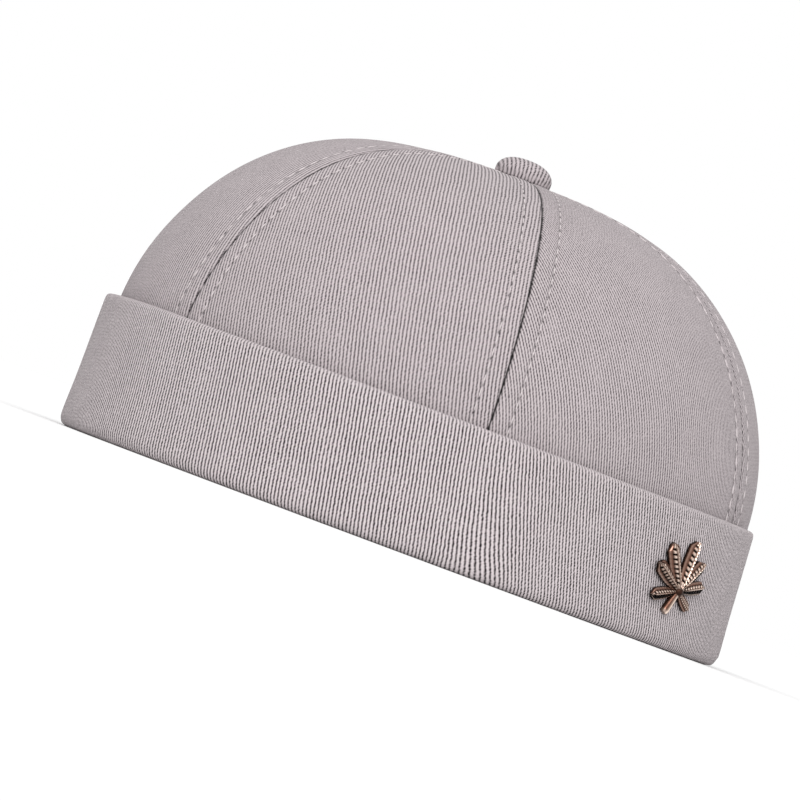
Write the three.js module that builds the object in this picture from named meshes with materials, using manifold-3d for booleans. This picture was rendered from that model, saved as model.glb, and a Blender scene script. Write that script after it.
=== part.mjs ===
// Brimless cap with a rolled cuff and an adjustable back strap, resting upright on its rim.
// Millimetres, +Z up. The front faces -Y and the wearer's left is +X.

import * as THREE from "three";
import { mergeVertices } from "three/addons/utils/BufferGeometryUtils.js";
import Module from "manifold-3d";

const wasm = await Module();
wasm.setup();

const degree = Math.PI / 180;

// Rim: the oval round the foot of the cuff
const rimHalfLength = 103;
const rimHalfWidth = 95.5;
const rimCentreY = 4.5;

// The whole cap leans forward: each level slides to the front by this share of its height
const forwardLean = 0.041;

// Clearances between pieces that touch
const gap = 0.3;
const layerGap = 0.5;

// Cuff
const cuffHeight = 39.4;
const cuffLean = 1.6;
const cuffWall = 2.8;
const cuffEndAngle = 128 * degree;
const cuffSegments = 44;
const foldHeight = 2;
const foldReach = 6.9;

// Crown wall and its profile, as a share of the rim oval
const hemHeight = 2.5;
const shoulderHeight = 40;
const crownTop = 109.7;
const crownShare = 0.9655;
const crownTaper = 0.00048;
const widthPower = 3;
const heightPower = 1.78;
const topShift = 2.65;
const crownWall = 1.5;
const poleRadius = 4;
const straightRows = 3;
const domeRows = 11;

// Panels and the relief along their seams
const seamGap = 0.36;
const seamDip = 0.45;
const panelBulge = 0.6;
const panelNames = [
  "panel_front_left",
  "panel_side_left",
  "panel_back_left",
  "panel_back_right",
  "panel_side_right",
  "panel_front_right",
];
const panelAngle = 2 * Math.PI / panelNames.length;
const seamColumns = [0, 0.012, 0.07];
const middleColumns = 8;

// Back opening: an elliptical arch over the strap
const archHalfWidth = 44;
const archHeight = 51;
const backPull = 4;
const backPullAngle = 52 * degree;
const backPullHeight = 60;

// Sweatband and lining
const bandHeight = 36;
const bandWall = 1.2;
const bandSegments = 48;
const liningWall = 0.8;
const liningSegments = 30;

// Strap and the pocket that its sewn end is tucked into
const strapLow = 5;
const strapWidth = 17.5;
const strapThickness = 1.1;
const pocketDepth = 1.6;
const pocketFrom = 64;
const pocketTo = 73;
const strapSteps = 70;

// Tri-glide buckle: x of each bar across the back, the bar nearest the wearer's right tab first
const tabBarX = -37.5;
const centreBarX = -32.2;
const farBarX = -26.7;
const barWidth = 1.6;
const buckleLow = 3.5;
const buckleHigh = 24;
const railWidth = 1.1;
const buckleThickness = 1;
const buckleDepth = -1.65;
const buckleCorner = 1.4;

// Webbing loop that holds the buckle, and its rivet
const loopThickness = 0.9;
const loopHeight = 11.5;
const loopEndX = -58;
const rivetX = -51;
const rivetHeight = 15;
const rivetShank = 1.6;
const rivetHole = 2;
const rivetSegments = 12;

// Button
const buttonSegments = 20;

// Leaf pin on the cuff
const pinAngle = 103 * degree;
const pinHeight = 16.6;
const pinTilt = 5 * degree;
const pinEdge = 0.8;
const stemLean = 20 * degree;
const stemLength = 7.6;
const postRadius = 0.7;
const postHole = 1;
const postLength = 1.9;
const postHoleDepth = 2.1;

const leaflets = [
  { turn: 3, length: 14.8, halfWidth: 2.45, ridge: 2.3 },
  { turn: -42, length: 15, halfWidth: 2.5, ridge: 2.3 },
  { turn: 35, length: 12.6, halfWidth: 2.1, ridge: 2 },
  { turn: -71, length: 13.8, halfWidth: 2.2, ridge: 2 },
  { turn: 68, length: 11.8, halfWidth: 1.9, ridge: 1.8 },
  { turn: -111, length: 12, halfWidth: 1.8, ridge: 1.7 },
  { turn: 114, length: 8.4, halfWidth: 1.5, ridge: 1.5 },
];

const leafletSections = [
  { along: 0, width: 0.3, height: 0.75 },
  { along: 0.25, width: 0.66, height: 0.95 },
  { along: 0.62, width: 1, height: 1 },
  { along: 0.86, width: 0.8, height: 0.85 },
  { along: 1, width: 0.2, height: 0.5 },
];

// Materials
const finish = (color, roughness, metalness) =>
  new THREE.MeshStandardMaterial({ color, roughness, metalness });
const twill = finish(0xb5abad, 0.9, 0);
const buttonCloth = finish(0xbeb6b6, 0.9, 0);
const blackCloth = finish(0x0c0b0c, 0.85, 0);
const blackLining = finish(0x171618, 0.8, 0);
const webbing = finish(0x2a2828, 0.85, 0);
const nickel = finish(0xb9b7b4, 0.25, 1);
const roseMetal = finish(0xb08874, 0.35, 1);

// Smooth rise from 0 to 1 as value goes from low to high
function rise(value, low, high) {
  const t = Math.min(1, Math.max(0, (value - low) / (high - low)));
  return t * t * (3 - 2 * t);
}

// Point on the rim oval, moved in square to it; angle 0 is the front, positive towards +X
function rimPoint(angle, inset, height) {
  const square = new THREE.Vector2(Math.sin(angle) / rimHalfWidth, -Math.cos(angle) / rimHalfLength);
  square.normalize();
  return new THREE.Vector3(
    rimHalfWidth * Math.sin(angle) - inset * square.x,
    rimCentreY - forwardLean * height - rimHalfLength * Math.cos(angle) - inset * square.y,
    height,
  );
}

// The crown's outer surface: climb is 0 at the hem, straightShare at the shoulder and 1 at the pole
const straightShare = 0.3;

function climbAt(height) {
  return straightShare * (height - hemHeight) / (shoulderHeight - hemHeight);
}

function crownSurface(angle, climb) {
  const turn = Math.max(0, (climb - straightShare) / (1 - straightShare)) * Math.PI / 2;
  const straight = Math.min(1, climb / straightShare);
  const lift = Math.sin(turn) ** (2 / heightPower);
  const height = hemHeight + straight * (shoulderHeight - hemHeight) + lift * (crownTop - shoulderHeight);
  const narrowing = Math.max(0, Math.cos(turn)) ** (2 / widthPower);
  const share = (crownShare - crownTaper * height) * narrowing;
  const behind = Math.max(0, (-Math.cos(angle) - Math.cos(backPullAngle)) / (1 - Math.cos(backPullAngle)));
  const low = Math.max(0, 1 - height / backPullHeight) ** 2;
  const middle = rimCentreY - forwardLean * height + topShift * lift;
  return new THREE.Vector3(
    rimHalfWidth * share * Math.sin(angle),
    middle - rimHalfLength * share * Math.cos(angle) - backPull * behind * low,
    height,
  );
}

function crownNormal(angle, climb) {
  const step = 1e-3;
  const top = Math.min(climb, 1 - 2 * step);
  const along = crownSurface(angle + step, top).sub(crownSurface(angle - step, top));
  const up = crownSurface(angle, top + step).sub(crownSurface(angle, top - step));
  return along.cross(up).normalize();
}

// Point below the crown's outer surface; a negative depth lies outside it
function crownPoint(angle, climb, depth) {
  return crownSurface(angle, climb).addScaledVector(crownNormal(angle, climb), -depth);
}

// The same by a distance across the back and a height, for the strap and its fittings
function backAngle(across) {
  const halfWidth = rimHalfWidth * (crownShare - crownTaper * (strapLow + strapWidth / 2));
  return Math.PI - Math.asin(across / halfWidth);
}

function backPoint(across, height, depth) {
  return crownPoint(backAngle(across), climbAt(height), depth);
}

// Mesh helpers
function indexedGeometry(positions, index) {
  const geometry = new THREE.BufferGeometry();
  geometry.setAttribute("position", new THREE.Float32BufferAttribute(positions, 3));
  geometry.setIndex(index);
  return geometry;
}

function weld(geometry) {
  geometry.deleteAttribute("normal");
  geometry.deleteAttribute("uv");
  const merged = mergeVertices(geometry, 1e-4);
  const source = merged.index.array;
  const index = [];
  for (let i = 0; i < source.length; i += 3) {
    const [a, b, c] = [source[i], source[i + 1], source[i + 2]];
    if (a !== b && b !== c && c !== a) {
      index.push(a, b, c);
    }
  }
  merged.setIndex(index);
  return faceOutwards(merged);
}

function faceOutwards(geometry) {
  const place = geometry.getAttribute("position");
  const index = Array.from(geometry.index.array);
  const corner = (i) => new THREE.Vector3().fromBufferAttribute(place, index[i]);
  let volume = 0;
  for (let i = 0; i < index.length; i += 3) {
    volume += corner(i).dot(corner(i + 1).cross(corner(i + 2)));
  }
  if (volume < 0) {
    for (let i = 0; i < index.length; i += 3) {
      [index[i + 1], index[i + 2]] = [index[i + 2], index[i + 1]];
    }
  }
  geometry.setIndex(index);
  return geometry;
}

// Closed wall between two grids of points, either a patch or a ring without side edges
function wallBetween(outer, inner, columns, rows, isRing) {
  const across = isRing ? columns : columns + 1;
  const positions = [];
  for (const surface of [outer, inner]) {
    for (let row = 0; row <= rows; row++) {
      for (let column = 0; column < across; column++) {
        positions.push(...surface(column, row).toArray());
      }
    }
  }
  const at = (side, column, row) => (side * (rows + 1) + row) * across + column % across;
  const index = [];
  const quad = (a, b, c, d) => index.push(a, b, c, a, c, d);
  for (let column = 0; column < columns; column++) {
    const next = column + 1;
    for (let row = 0; row < rows; row++) {
      quad(at(0, column, row), at(0, next, row), at(0, next, row + 1), at(0, column, row + 1));
      quad(at(1, column, row), at(1, column, row + 1), at(1, next, row + 1), at(1, next, row));
    }
    quad(at(0, next, 0), at(0, column, 0), at(1, column, 0), at(1, next, 0));
    quad(at(0, column, rows), at(0, next, rows), at(1, next, rows), at(1, column, rows));
  }
  for (let row = 0; row < rows && !isRing; row++) {
    quad(at(0, 0, row), at(0, 0, row + 1), at(1, 0, row + 1), at(1, 0, row));
    quad(at(0, columns, row + 1), at(0, columns, row), at(1, columns, row), at(1, columns, row + 1));
  }
  return faceOutwards(indexedGeometry(positions, index));
}

// Closed loft through sections that are all the given outline in another place
function loft(outline, sections) {
  const size = outline.length;
  const positions = sections.flat().flatMap((point) => point.toArray());
  const index = [];
  for (let section = 0; section < sections.length - 1; section++) {
    for (let corner = 0; corner < size; corner++) {
      const next = (corner + 1) % size;
      const [a, b] = [section * size + corner, section * size + next];
      index.push(a, a + size, b + size, a, b + size, b);
    }
  }
  const anticlockwise = THREE.ShapeUtils.area(outline) > 0;
  const last = (sections.length - 1) * size;
  for (const [a, b, c] of THREE.ShapeUtils.triangulateShape(outline, [])) {
    const sameWay = THREE.ShapeUtils.area([outline[a], outline[b], outline[c]]) > 0 === anticlockwise;
    const [p, q] = sameWay ? [b, c] : [c, b];
    index.push(a, p, q, last + a, last + q, last + p);
  }
  return faceOutwards(indexedGeometry(positions, index));
}

// Solids for cutting and joining
function solid(geometry) {
  const welded = weld(geometry.clone());
  return new wasm.Manifold(new wasm.Mesh({
    numProp: 3,
    vertProperties: new Float32Array(welded.getAttribute("position").array),
    triVerts: new Uint32Array(welded.index.array),
  }));
}

function fromSolid(result) {
  const mesh = result.getMesh();
  return indexedGeometry(Array.from(mesh.vertProperties), Array.from(mesh.triVerts));
}

function cut(geometry, tools) {
  return fromSolid(tools.reduce((body, tool) => body.subtract(tool), solid(geometry)));
}

// Tool that opens the arch through the back of the crown, lining and sweatband
function archTool() {
  const shape = new THREE.Shape();
  shape.moveTo(-archHalfWidth, -10);
  shape.lineTo(archHalfWidth, -10);
  shape.lineTo(archHalfWidth, 0);
  shape.absellipse(0, 0, archHalfWidth, archHeight, 0, Math.PI, false, 0);
  const geometry = new THREE.ExtrudeGeometry(shape, { depth: 80, bevelEnabled: false, curveSegments: 28 });
  geometry.rotateX(Math.PI / 2);
  geometry.translate(0, 120, 0);
  return solid(geometry);
}

// A frame square to the crown's wall: local +Y points straight out
function standOnWall(object, across, height) {
  const outward = crownNormal(backAngle(across), climbAt(height));
  object.quaternion.setFromUnitVectors(new THREE.Vector3(0, 1, 0), outward);
  object.position.copy(backPoint(across, height, 0));
  object.updateMatrix();
}

function rivetHoleTool() {
  const drill = new THREE.Mesh(new THREE.CylinderGeometry(rivetHole, rivetHole, 16, 12));
  standOnWall(drill, rivetX, rivetHeight);
  return solid(drill.geometry.applyMatrix4(drill.matrix));
}

// Crown panels
function panelFractions() {
  const middle = Array.from({ length: middleColumns - 1 }, (_, i) => {
    const last = seamColumns.at(-1);
    return last + (1 - 2 * last) * (i + 1) / middleColumns;
  });
  return [...seamColumns, ...middle, ...seamColumns.map((place) => 1 - place).reverse()];
}

function crownClimbs(lowest) {
  const poleTurn = Math.acos((poleRadius / (rimHalfLength * crownShare)) ** (widthPower / 2));
  const straight = Array.from({ length: straightRows }, (_, i) =>
    lowest + (straightShare - lowest) * i / straightRows);
  const dome = Array.from({ length: domeRows + 1 }, (_, i) =>
    straightShare + (1 - straightShare) * poleTurn / (Math.PI / 2) * i / domeRows);
  return [...straight, ...dome];
}

function seamRelief(fraction, climb) {
  const edge = Math.min(fraction, 1 - fraction);
  const dip = seamDip * (1 - rise(edge, 0, seamColumns[1]));
  const bulge = panelBulge * Math.sin(Math.PI * fraction) ** 2;
  const free = rise(climb, straightShare, straightShare + 0.15) * (1 - rise(climb, 0.8, 0.98));
  return dip - bulge * free;
}

function panelGeometry(number) {
  const fractions = panelFractions();
  const climbs = crownClimbs(0);
  const seam = number * panelAngle;
  const at = (column, row, depth) => {
    const across = crownSurface(seam, climbs[row]).sub(crownSurface(seam + Math.PI, climbs[row]));
    const radius = across.length() / 2;
    const half = seamGap / 2 / radius;
    const angle = seam + half + (panelAngle - 2 * half) * fractions[column];
    return crownPoint(angle, climbs[row], depth);
  };
  return wallBetween(
    (column, row) => at(column, row, seamRelief(fractions[column], climbs[row])),
    (column, row) => at(column, row, crownWall),
    fractions.length - 1,
    climbs.length - 1,
    false,
  );
}

// Rolled cuff: a wall round the crown with a fold turned in under the crown's hem
function cuffOutline() {
  const topInset = cuffLean;
  const wallTop = topInset + cuffWall + 0.2;
  return [
    [1.1, 0],
    [0.35, 0.4],
    [0, 1.3],
    [topInset * 0.5, cuffHeight * 0.5],
    [topInset - 0.05, cuffHeight - 1.4],
    [topInset + 0.35, cuffHeight - 0.4],
    [topInset + 1.2, cuffHeight],
    [wallTop - 1, cuffHeight - 0.05],
    [wallTop - 0.25, cuffHeight - 0.6],
    [wallTop, cuffHeight - 1.6],
    [cuffWall + 0.1 + topInset * 0.5, cuffHeight * 0.5],
    [cuffWall, foldHeight + 0.6],
    [cuffWall + 0.4, foldHeight],
    [foldReach - 0.6, foldHeight],
    [foldReach, foldHeight - 0.7],
    [foldReach - 0.3, 0.5],
    [foldReach - 1.1, 0],
  ].map(([inset, height]) => new THREE.Vector2(inset, height));
}

function cuffGeometry() {
  const outline = cuffOutline();
  const sections = Array.from({ length: cuffSegments + 1 }, (_, i) => {
    const angle = cuffEndAngle * (2 * i / cuffSegments - 1);
    return outline.map(({ x, y }) => rimPoint(angle, x, y));
  });
  return cut(loft(outline, sections), [postHoleTool()]);
}

// Sweatband, set in further where it covers the strap's sewn end
function pocketLift(angle) {
  const across = rimHalfWidth * Math.sin(angle);
  return Math.cos(angle) < 0 ? pocketDepth * (1 - rise(across, pocketFrom, pocketTo)) * rise(across, 0, 9) : 0;
}

function sweatbandGeometry() {
  const endAngle = Math.PI - 20 * degree;
  const heights = [hemHeight, hemHeight + bandHeight / 3, bandHeight * 0.7, bandHeight];
  const at = (column, row, depth) => {
    const angle = endAngle * (2 * column / bandSegments - 1);
    return crownPoint(angle, climbAt(heights[row]), depth + pocketLift(angle));
  };
  const outerDepth = crownWall + layerGap;
  return wallBetween(
    (column, row) => at(column, row, outerDepth),
    (column, row) => at(column, row, outerDepth + bandWall),
    bandSegments,
    heights.length - 1,
    false,
  );
}

// Lining from the sweatband's top edge to the pole
function liningGeometry() {
  const lowest = climbAt(bandHeight + gap);
  const climbs = [lowest, ...crownClimbs(0).slice(straightRows)];
  const at = (column, row, depth) => crownPoint(2 * Math.PI * column / liningSegments, climbs[row], depth);
  const outerDepth = crownWall + layerGap;
  return wallBetween(
    (column, row) => at(column, row, outerDepth),
    (column, row) => at(column, row, outerDepth + liningWall),
    liningSegments,
    climbs.length - 1,
    true,
  );
}

// Flat pieces across the back: x is across, y is depth and the extrusion is height
function bendRoundBack(geometry, low) {
  const place = geometry.getAttribute("position");
  for (let i = 0; i < place.count; i++) {
    const point = backPoint(place.getX(i), low + place.getZ(i), place.getY(i));
    place.setXYZ(i, point.x, point.y, point.z);
  }
  return weld(geometry);
}

// Ribbon of even thickness along a middle line given in across and depth
function ribbonGeometry(points, thickness, low, width) {
  const outline = [[0, 0], [1, 0], [1, 1], [0, 1]].map(([x, y]) => new THREE.Vector2(x, y));
  const sections = points.map((point, i) => {
    const before = points[Math.max(0, i - 1)];
    const after = points[Math.min(points.length - 1, i + 1)];
    const square = new THREE.Vector2(before.y - after.y, after.x - before.x).normalize();
    return outline.map(({ x, y }) => {
      const side = point.clone().addScaledVector(square, thickness * (x - 0.5));
      return backPoint(side.x, low + width * y, side.y);
    });
  });
  return loft(outline, sections);
}

// Strap: sewn in at the wearer's left, behind two bars, out through a slot and over the right tab
const strapRoute = [
  { across: 54, depth: 2.55 },
  { across: 46, depth: 2.55 },
  { across: 24, depth: 2.5 },
  { across: 0, depth: 2.4 },
  { across: -16, depth: 1.9 },
  { across: -24, depth: 0.7 },
  { across: farBarX, depth: 0.35 },
  { across: centreBarX, depth: 0.35 },
  { across: centreBarX - 0.8, depth: 0.22 },
  { across: centreBarX - 1.4, depth: -0.1 },
  { across: centreBarX - 1.75, depth: -0.8 },
  { across: centreBarX - 2, depth: -1.6 },
  { across: centreBarX - 2.4, depth: -2.5 },
  { across: centreBarX - 3.2, depth: -3.3 },
  { across: tabBarX + 0.6, depth: -3.85 },
  { across: tabBarX - 1.6, depth: -4 },
  { across: rivetX, depth: -4.3 },
  { across: rivetX - 6, depth: -3.7 },
  { across: rivetX - 12, depth: -1.9 },
];

function strapGeometry() {
  const curve = new THREE.SplineCurve(strapRoute.map(({ across, depth }) => new THREE.Vector2(across, depth)));
  return ribbonGeometry(curve.getPoints(strapSteps), strapThickness, strapLow, strapWidth);
}

// Loop: two layers on the tab, folded round the buckle's first bar
function loopGeometry() {
  const middle = buckleDepth + buckleThickness / 2;
  const reach = barWidth / 2 + layerGap + loopThickness / 2;
  const lift = buckleThickness / 2 + layerGap + loopThickness / 2;
  const fold = Array.from({ length: 9 }, (_, i) => {
    const turn = Math.PI * (i / 8 - 0.5);
    return new THREE.Vector2(tabBarX + reach * Math.cos(turn), middle - lift * Math.sin(turn));
  });
  const inner = -gap - loopThickness / 2;
  const outer = inner - loopThickness - gap;
  const points = [
    new THREE.Vector2(loopEndX, inner),
    new THREE.Vector2(rivetX, inner),
    new THREE.Vector2(tabBarX - 3.6, inner),
    new THREE.Vector2(tabBarX - 2.4, -0.4),
    new THREE.Vector2(tabBarX - 1.1, middle + lift - 0.05),
    ...fold,
    new THREE.Vector2(tabBarX - 3.4, outer - 0.15),
    new THREE.Vector2(rivetX, outer),
    new THREE.Vector2(loopEndX, outer),
  ];
  const low = strapLow + (strapWidth - loopHeight) / 2;
  return cut(ribbonGeometry(points, loopThickness, low, loopHeight), [rivetHoleTool()]);
}

// Tri-glide: one flat frame with a centre bar
function roundedRectangle(shape, left, right, low, high, radius) {
  shape.moveTo(left + radius, low);
  shape.lineTo(right - radius, low);
  shape.absarc(right - radius, low + radius, radius, -Math.PI / 2, 0, false);
  shape.lineTo(right, high - radius);
  shape.absarc(right - radius, high - radius, radius, 0, Math.PI / 2, false);
  shape.lineTo(left + radius, high);
  shape.absarc(left + radius, high - radius, radius, Math.PI / 2, Math.PI, false);
  shape.lineTo(left, low + radius);
  shape.absarc(left + radius, low + radius, radius, Math.PI, Math.PI * 1.5, false);
  return shape;
}

function buckleGeometry() {
  const height = buckleHigh - buckleLow;
  const half = barWidth / 2;
  const shape = roundedRectangle(new THREE.Shape(), tabBarX - half, farBarX + half, 0, height, buckleCorner);
  for (const [left, right] of [[tabBarX + half, centreBarX - half], [centreBarX + half, farBarX - half]]) {
    shape.holes.push(roundedRectangle(new THREE.Path(), left, right, railWidth, height - railWidth, 0.4));
  }
  const geometry = new THREE.ExtrudeGeometry(shape, {
    depth: buckleThickness,
    bevelEnabled: false,
    curveSegments: 3,
  });
  const place = geometry.getAttribute("position");
  for (let i = 0; i < place.count; i++) {
    place.setXYZ(i, place.getX(i), buckleDepth + place.getZ(i), place.getY(i));
  }
  return bendRoundBack(geometry, buckleLow);
}

// Rivet: a ringed cap inside the tab, a shank and a low head outside; y runs outwards
function rivetGeometry() {
  const inside = -(crownWall + layerGap + bandWall + layerGap);
  const outside = 2 * (loopThickness + gap) + gap;
  const profile = [
    [0, inside - 1.25],
    [1.2, inside - 1.15],
    [2.1, inside - 0.7],
    [2.5, inside - 0.45],
    [2.8, inside - 1.1],
    [3.3, inside - 1.4],
    [3.75, inside - 1.1],
    [3.9, inside - 0.5],
    [3.9, inside],
    [rivetShank, inside],
    [rivetShank, outside],
    [3.4, outside],
    [3.3, outside + 0.3],
    [2.2, outside + 0.55],
    [0, outside + 0.65],
  ].map(([radius, y]) => new THREE.Vector2(radius, y));
  return weld(new THREE.LatheGeometry(profile, rivetSegments));
}

// Button: a cloth dome, its shank through the pole and a washer under the lining
function buttonGeometry() {
  const washerTop = -(crownWall + layerGap + liningWall + layerGap);
  const profile = [
    [0, washerTop - 0.8],
    [6.4, washerTop - 0.8],
    [7, washerTop - 0.4],
    [6.8, washerTop],
    [2.6, washerTop],
    [2.6, gap],
    [7.3, gap],
    [8.2, 0.9],
    [8.3, 2],
    [7.6, 3.6],
    [6.2, 4.9],
    [4.3, 5.7],
    [2.2, 6.2],
    [0, 6.3],
  ].map(([radius, y]) => new THREE.Vector2(radius, y));
  return weld(new THREE.LatheGeometry(profile, buttonSegments));
}

// Leaf pin: seven ridged leaflets and a stem on one hub, with a short post behind
function leafletGeometry({ turn, length, halfWidth, ridge }) {
  const outline = [[-1, 0], [1, 0], [1, 1], [0, 2], [-1, 1]].map(([x, y]) => new THREE.Vector2(x, y));
  const sections = leafletSections.map(({ along, width, height }) => {
    const side = halfWidth * width;
    const top = pinEdge + (ridge - pinEdge) * height;
    return [
      new THREE.Vector3(-side, along * length, 0),
      new THREE.Vector3(side, along * length, 0),
      new THREE.Vector3(side, along * length, pinEdge),
      new THREE.Vector3(0, along * length, top),
      new THREE.Vector3(-side, along * length, pinEdge),
    ];
  });
  return loft(outline, sections).rotateZ(-turn * degree);
}

function pinGeometry() {
  const stem = new THREE.CylinderGeometry(1.1, 1.45, stemLength, 8)
    .translate(0, -stemLength / 2, 0)
    .scale(1, 1, 0.65)
    .translate(0, 0, 0.65 * 1.45)
    .rotateZ(-stemLean);
  const hub = new THREE.CylinderGeometry(1.1, 1.9, 2.3, 10).rotateX(Math.PI / 2).translate(0, 0, 1.15);
  const post = new THREE.CylinderGeometry(postRadius, postRadius, postLength + 0.5, 8)
    .rotateX(Math.PI / 2)
    .translate(0, 0, 0.25 - postLength / 2);
  const pieces = [...leaflets.map(leafletGeometry), stem, hub, post].map(solid);
  return fromSolid(pieces.reduce((body, piece) => body.add(piece)));
}

// Place on the cuff's outer face: local +Y runs up the cuff and local +Z points out
function standOnCuff(object, clearance) {
  const at = (angle, height) => rimPoint(angle, cuffLean * height / cuffHeight - clearance, height);
  const side = at(pinAngle + 0.01, pinHeight).sub(at(pinAngle - 0.01, pinHeight)).normalize();
  const climb = at(pinAngle, pinHeight + 1).sub(at(pinAngle, pinHeight - 1));
  const outward = side.clone().cross(climb).normalize();
  const turn = new THREE.Matrix4().makeBasis(side, outward.clone().cross(side), outward);
  object.quaternion.setFromRotationMatrix(turn);
  object.rotateZ(-pinTilt);
  object.position.copy(at(pinAngle, pinHeight));
  object.updateMatrix();
}

function postHoleTool() {
  const drill = new THREE.Mesh(new THREE.CylinderGeometry(postHole, postHole, postHoleDepth + 2, 8));
  drill.geometry.rotateX(Math.PI / 2).translate(0, 0, 1 - postHoleDepth / 2);
  standOnCuff(drill, 0);
  return solid(drill.geometry.applyMatrix4(drill.matrix));
}

// The cap
const cap = new THREE.Group();

function addPiece(name, geometry, material) {
  const piece = new THREE.Mesh(geometry, material);
  piece.name = name;
  cap.add(piece);
  return piece;
}

const arch = archTool();
const rivetDrill = rivetHoleTool();

panelNames.forEach((name, number) => {
  const tools = [];
  if (name.startsWith("panel_back")) {
    tools.push(arch);
  }
  if (name === "panel_back_right") {
    tools.push(rivetDrill);
  }
  const geometry = panelGeometry(number);
  addPiece(name, tools.length ? cut(geometry, tools) : geometry, twill);
});

addPiece("cuff", cuffGeometry(), twill);
addPiece("sweatband", cut(sweatbandGeometry(), [arch, rivetDrill]), blackCloth);
addPiece("lining", cut(liningGeometry(), [arch]), blackLining);
addPiece("strap", strapGeometry(), webbing);
addPiece("buckle_loop", loopGeometry(), webbing);
addPiece("buckle", buckleGeometry(), nickel);

standOnWall(addPiece("rivet", rivetGeometry(), nickel), rivetX, rivetHeight);

const button = addPiece("button", buttonGeometry(), buttonCloth);
button.rotation.x = Math.PI / 2;
button.position.set(0, rimCentreY - forwardLean * crownTop + topShift, crownTop);

standOnCuff(addPiece("leaf_pin", pinGeometry(), roseMetal), gap);

export default cap;
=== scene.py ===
import bisect
import math

import bmesh
import bpy
from mathutils import Matrix, Vector, noise


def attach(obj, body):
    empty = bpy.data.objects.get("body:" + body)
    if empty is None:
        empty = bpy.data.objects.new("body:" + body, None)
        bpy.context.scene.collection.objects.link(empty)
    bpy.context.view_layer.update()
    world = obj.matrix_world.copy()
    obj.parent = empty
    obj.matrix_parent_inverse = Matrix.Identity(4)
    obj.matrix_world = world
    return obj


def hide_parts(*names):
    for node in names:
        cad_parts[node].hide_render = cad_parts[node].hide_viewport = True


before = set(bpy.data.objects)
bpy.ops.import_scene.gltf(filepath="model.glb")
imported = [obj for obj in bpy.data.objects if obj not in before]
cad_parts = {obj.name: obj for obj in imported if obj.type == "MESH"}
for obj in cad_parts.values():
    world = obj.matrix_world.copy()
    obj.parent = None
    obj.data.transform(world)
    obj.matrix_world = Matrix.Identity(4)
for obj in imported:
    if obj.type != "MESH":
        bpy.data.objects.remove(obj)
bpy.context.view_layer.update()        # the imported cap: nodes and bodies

# Brimless cap of light grey twill with a rolled cuff, a back strap and a leaf pin.
# Shapes are worked out in millimetres and turned into metres when a piece is finished.
mm = 0.001
degree = math.pi / 180
scene = bpy.context.scene


# Shape of the cap, as the frame has it: angle 0 is the front, positive towards +X

cap = {
    "rimHalfLength": 103,
    "rimHalfWidth": 95.5,
    "rimCentreY": 4.5,
    "forwardLean": 0.041,      # each level slides to the front by this share of its height
    "hemHeight": 2.5,          # foot of the crown
    "shoulderHeight": 40,
    "crownTop": 109.7,
    "crownShare": 0.9655,      # crown oval as a share of the rim oval
    "crownTaper": 0.00048,
    "widthPower": 3,
    "heightPower": 1.78,
    "topShift": 2.65,
    "straightShare": 0.3,      # part of the climb below the shoulder
    "backPull": 4,
    "backPullAngle": 52 * degree,
    "backPullHeight": 60,
    "panels": 6,
    "poleRadius": 4,
    "archHalfWidth": 44,       # back opening
    "archHeight": 51,
}


def rise(value, low, high):
    t = min(1, max(0, (value - low) / (high - low)))
    return t * t * (3 - 2 * t)


def bell(value, width):
    return math.exp(-(value / width) ** 2)


def rimPoint(angle, inset, height):
    square = Vector((math.sin(angle) / cap["rimHalfWidth"], -math.cos(angle) / cap["rimHalfLength"]))
    square.normalize()
    return Vector((
        cap["rimHalfWidth"] * math.sin(angle) - inset * square.x,
        cap["rimCentreY"] - cap["forwardLean"] * height
        - cap["rimHalfLength"] * math.cos(angle) - inset * square.y,
        height,
    ))


def domeHeight(climb):
    share = cap["straightShare"]
    turn = max(0, (climb - share) / (1 - share)) * math.pi / 2
    lift = math.sin(turn) ** (2 / cap["heightPower"])
    straight = min(1, climb / share) * (cap["shoulderHeight"] - cap["hemHeight"])
    height = cap["hemHeight"] + straight + lift * (cap["crownTop"] - cap["shoulderHeight"])
    return height, lift, turn


def climbAt(height):
    share = cap["straightShare"]
    if height <= cap["shoulderHeight"]:
        return share * (height - cap["hemHeight"]) / (cap["shoulderHeight"] - cap["hemHeight"])
    lift = (height - cap["shoulderHeight"]) / (cap["crownTop"] - cap["shoulderHeight"])
    turn = math.asin(min(1, lift) ** (cap["heightPower"] / 2))
    return share + (1 - share) * turn / (math.pi / 2)


def ovalShare(climb):
    height, lift, turn = domeHeight(climb)
    narrowing = max(0, math.cos(turn)) ** (2 / cap["widthPower"])
    return (cap["crownShare"] - cap["crownTaper"] * height) * narrowing


def crownSurface(angle, climb):
    height, lift, turn = domeHeight(climb)
    share = ovalShare(climb)
    edge = math.cos(cap["backPullAngle"])
    behind = max(0, (-math.cos(angle) - edge) / (1 - edge))
    low = max(0, 1 - height / cap["backPullHeight"]) ** 2
    middle = cap["rimCentreY"] - cap["forwardLean"] * height + cap["topShift"] * lift
    return Vector((
        cap["rimHalfWidth"] * share * math.sin(angle),
        middle - cap["rimHalfLength"] * share * math.cos(angle) - cap["backPull"] * behind * low,
        height,
    ))


def crownNormal(angle, climb):
    step = 1e-3
    top = min(climb, 1 - 2 * step)
    along = crownSurface(angle + step, top) - crownSurface(angle - step, top)
    up = crownSurface(angle, top + step) - crownSurface(angle, top - step)
    return along.cross(up).normalized()


def crownPoint(angle, climb, depth):
    return crownSurface(angle, climb) - crownNormal(angle, climb) * depth


def crownSpeed(angle, climb):
    # millimetres along the cloth for one radian round the crown
    step = 0.01
    return (crownSurface(angle + step, climb) - crownSurface(angle - step, climb)).length / (2 * step)


def angleAtBack(across, climb):
    return math.pi - math.asin(max(-1, min(1, across / (cap["rimHalfWidth"] * ovalShare(climb)))))


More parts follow.
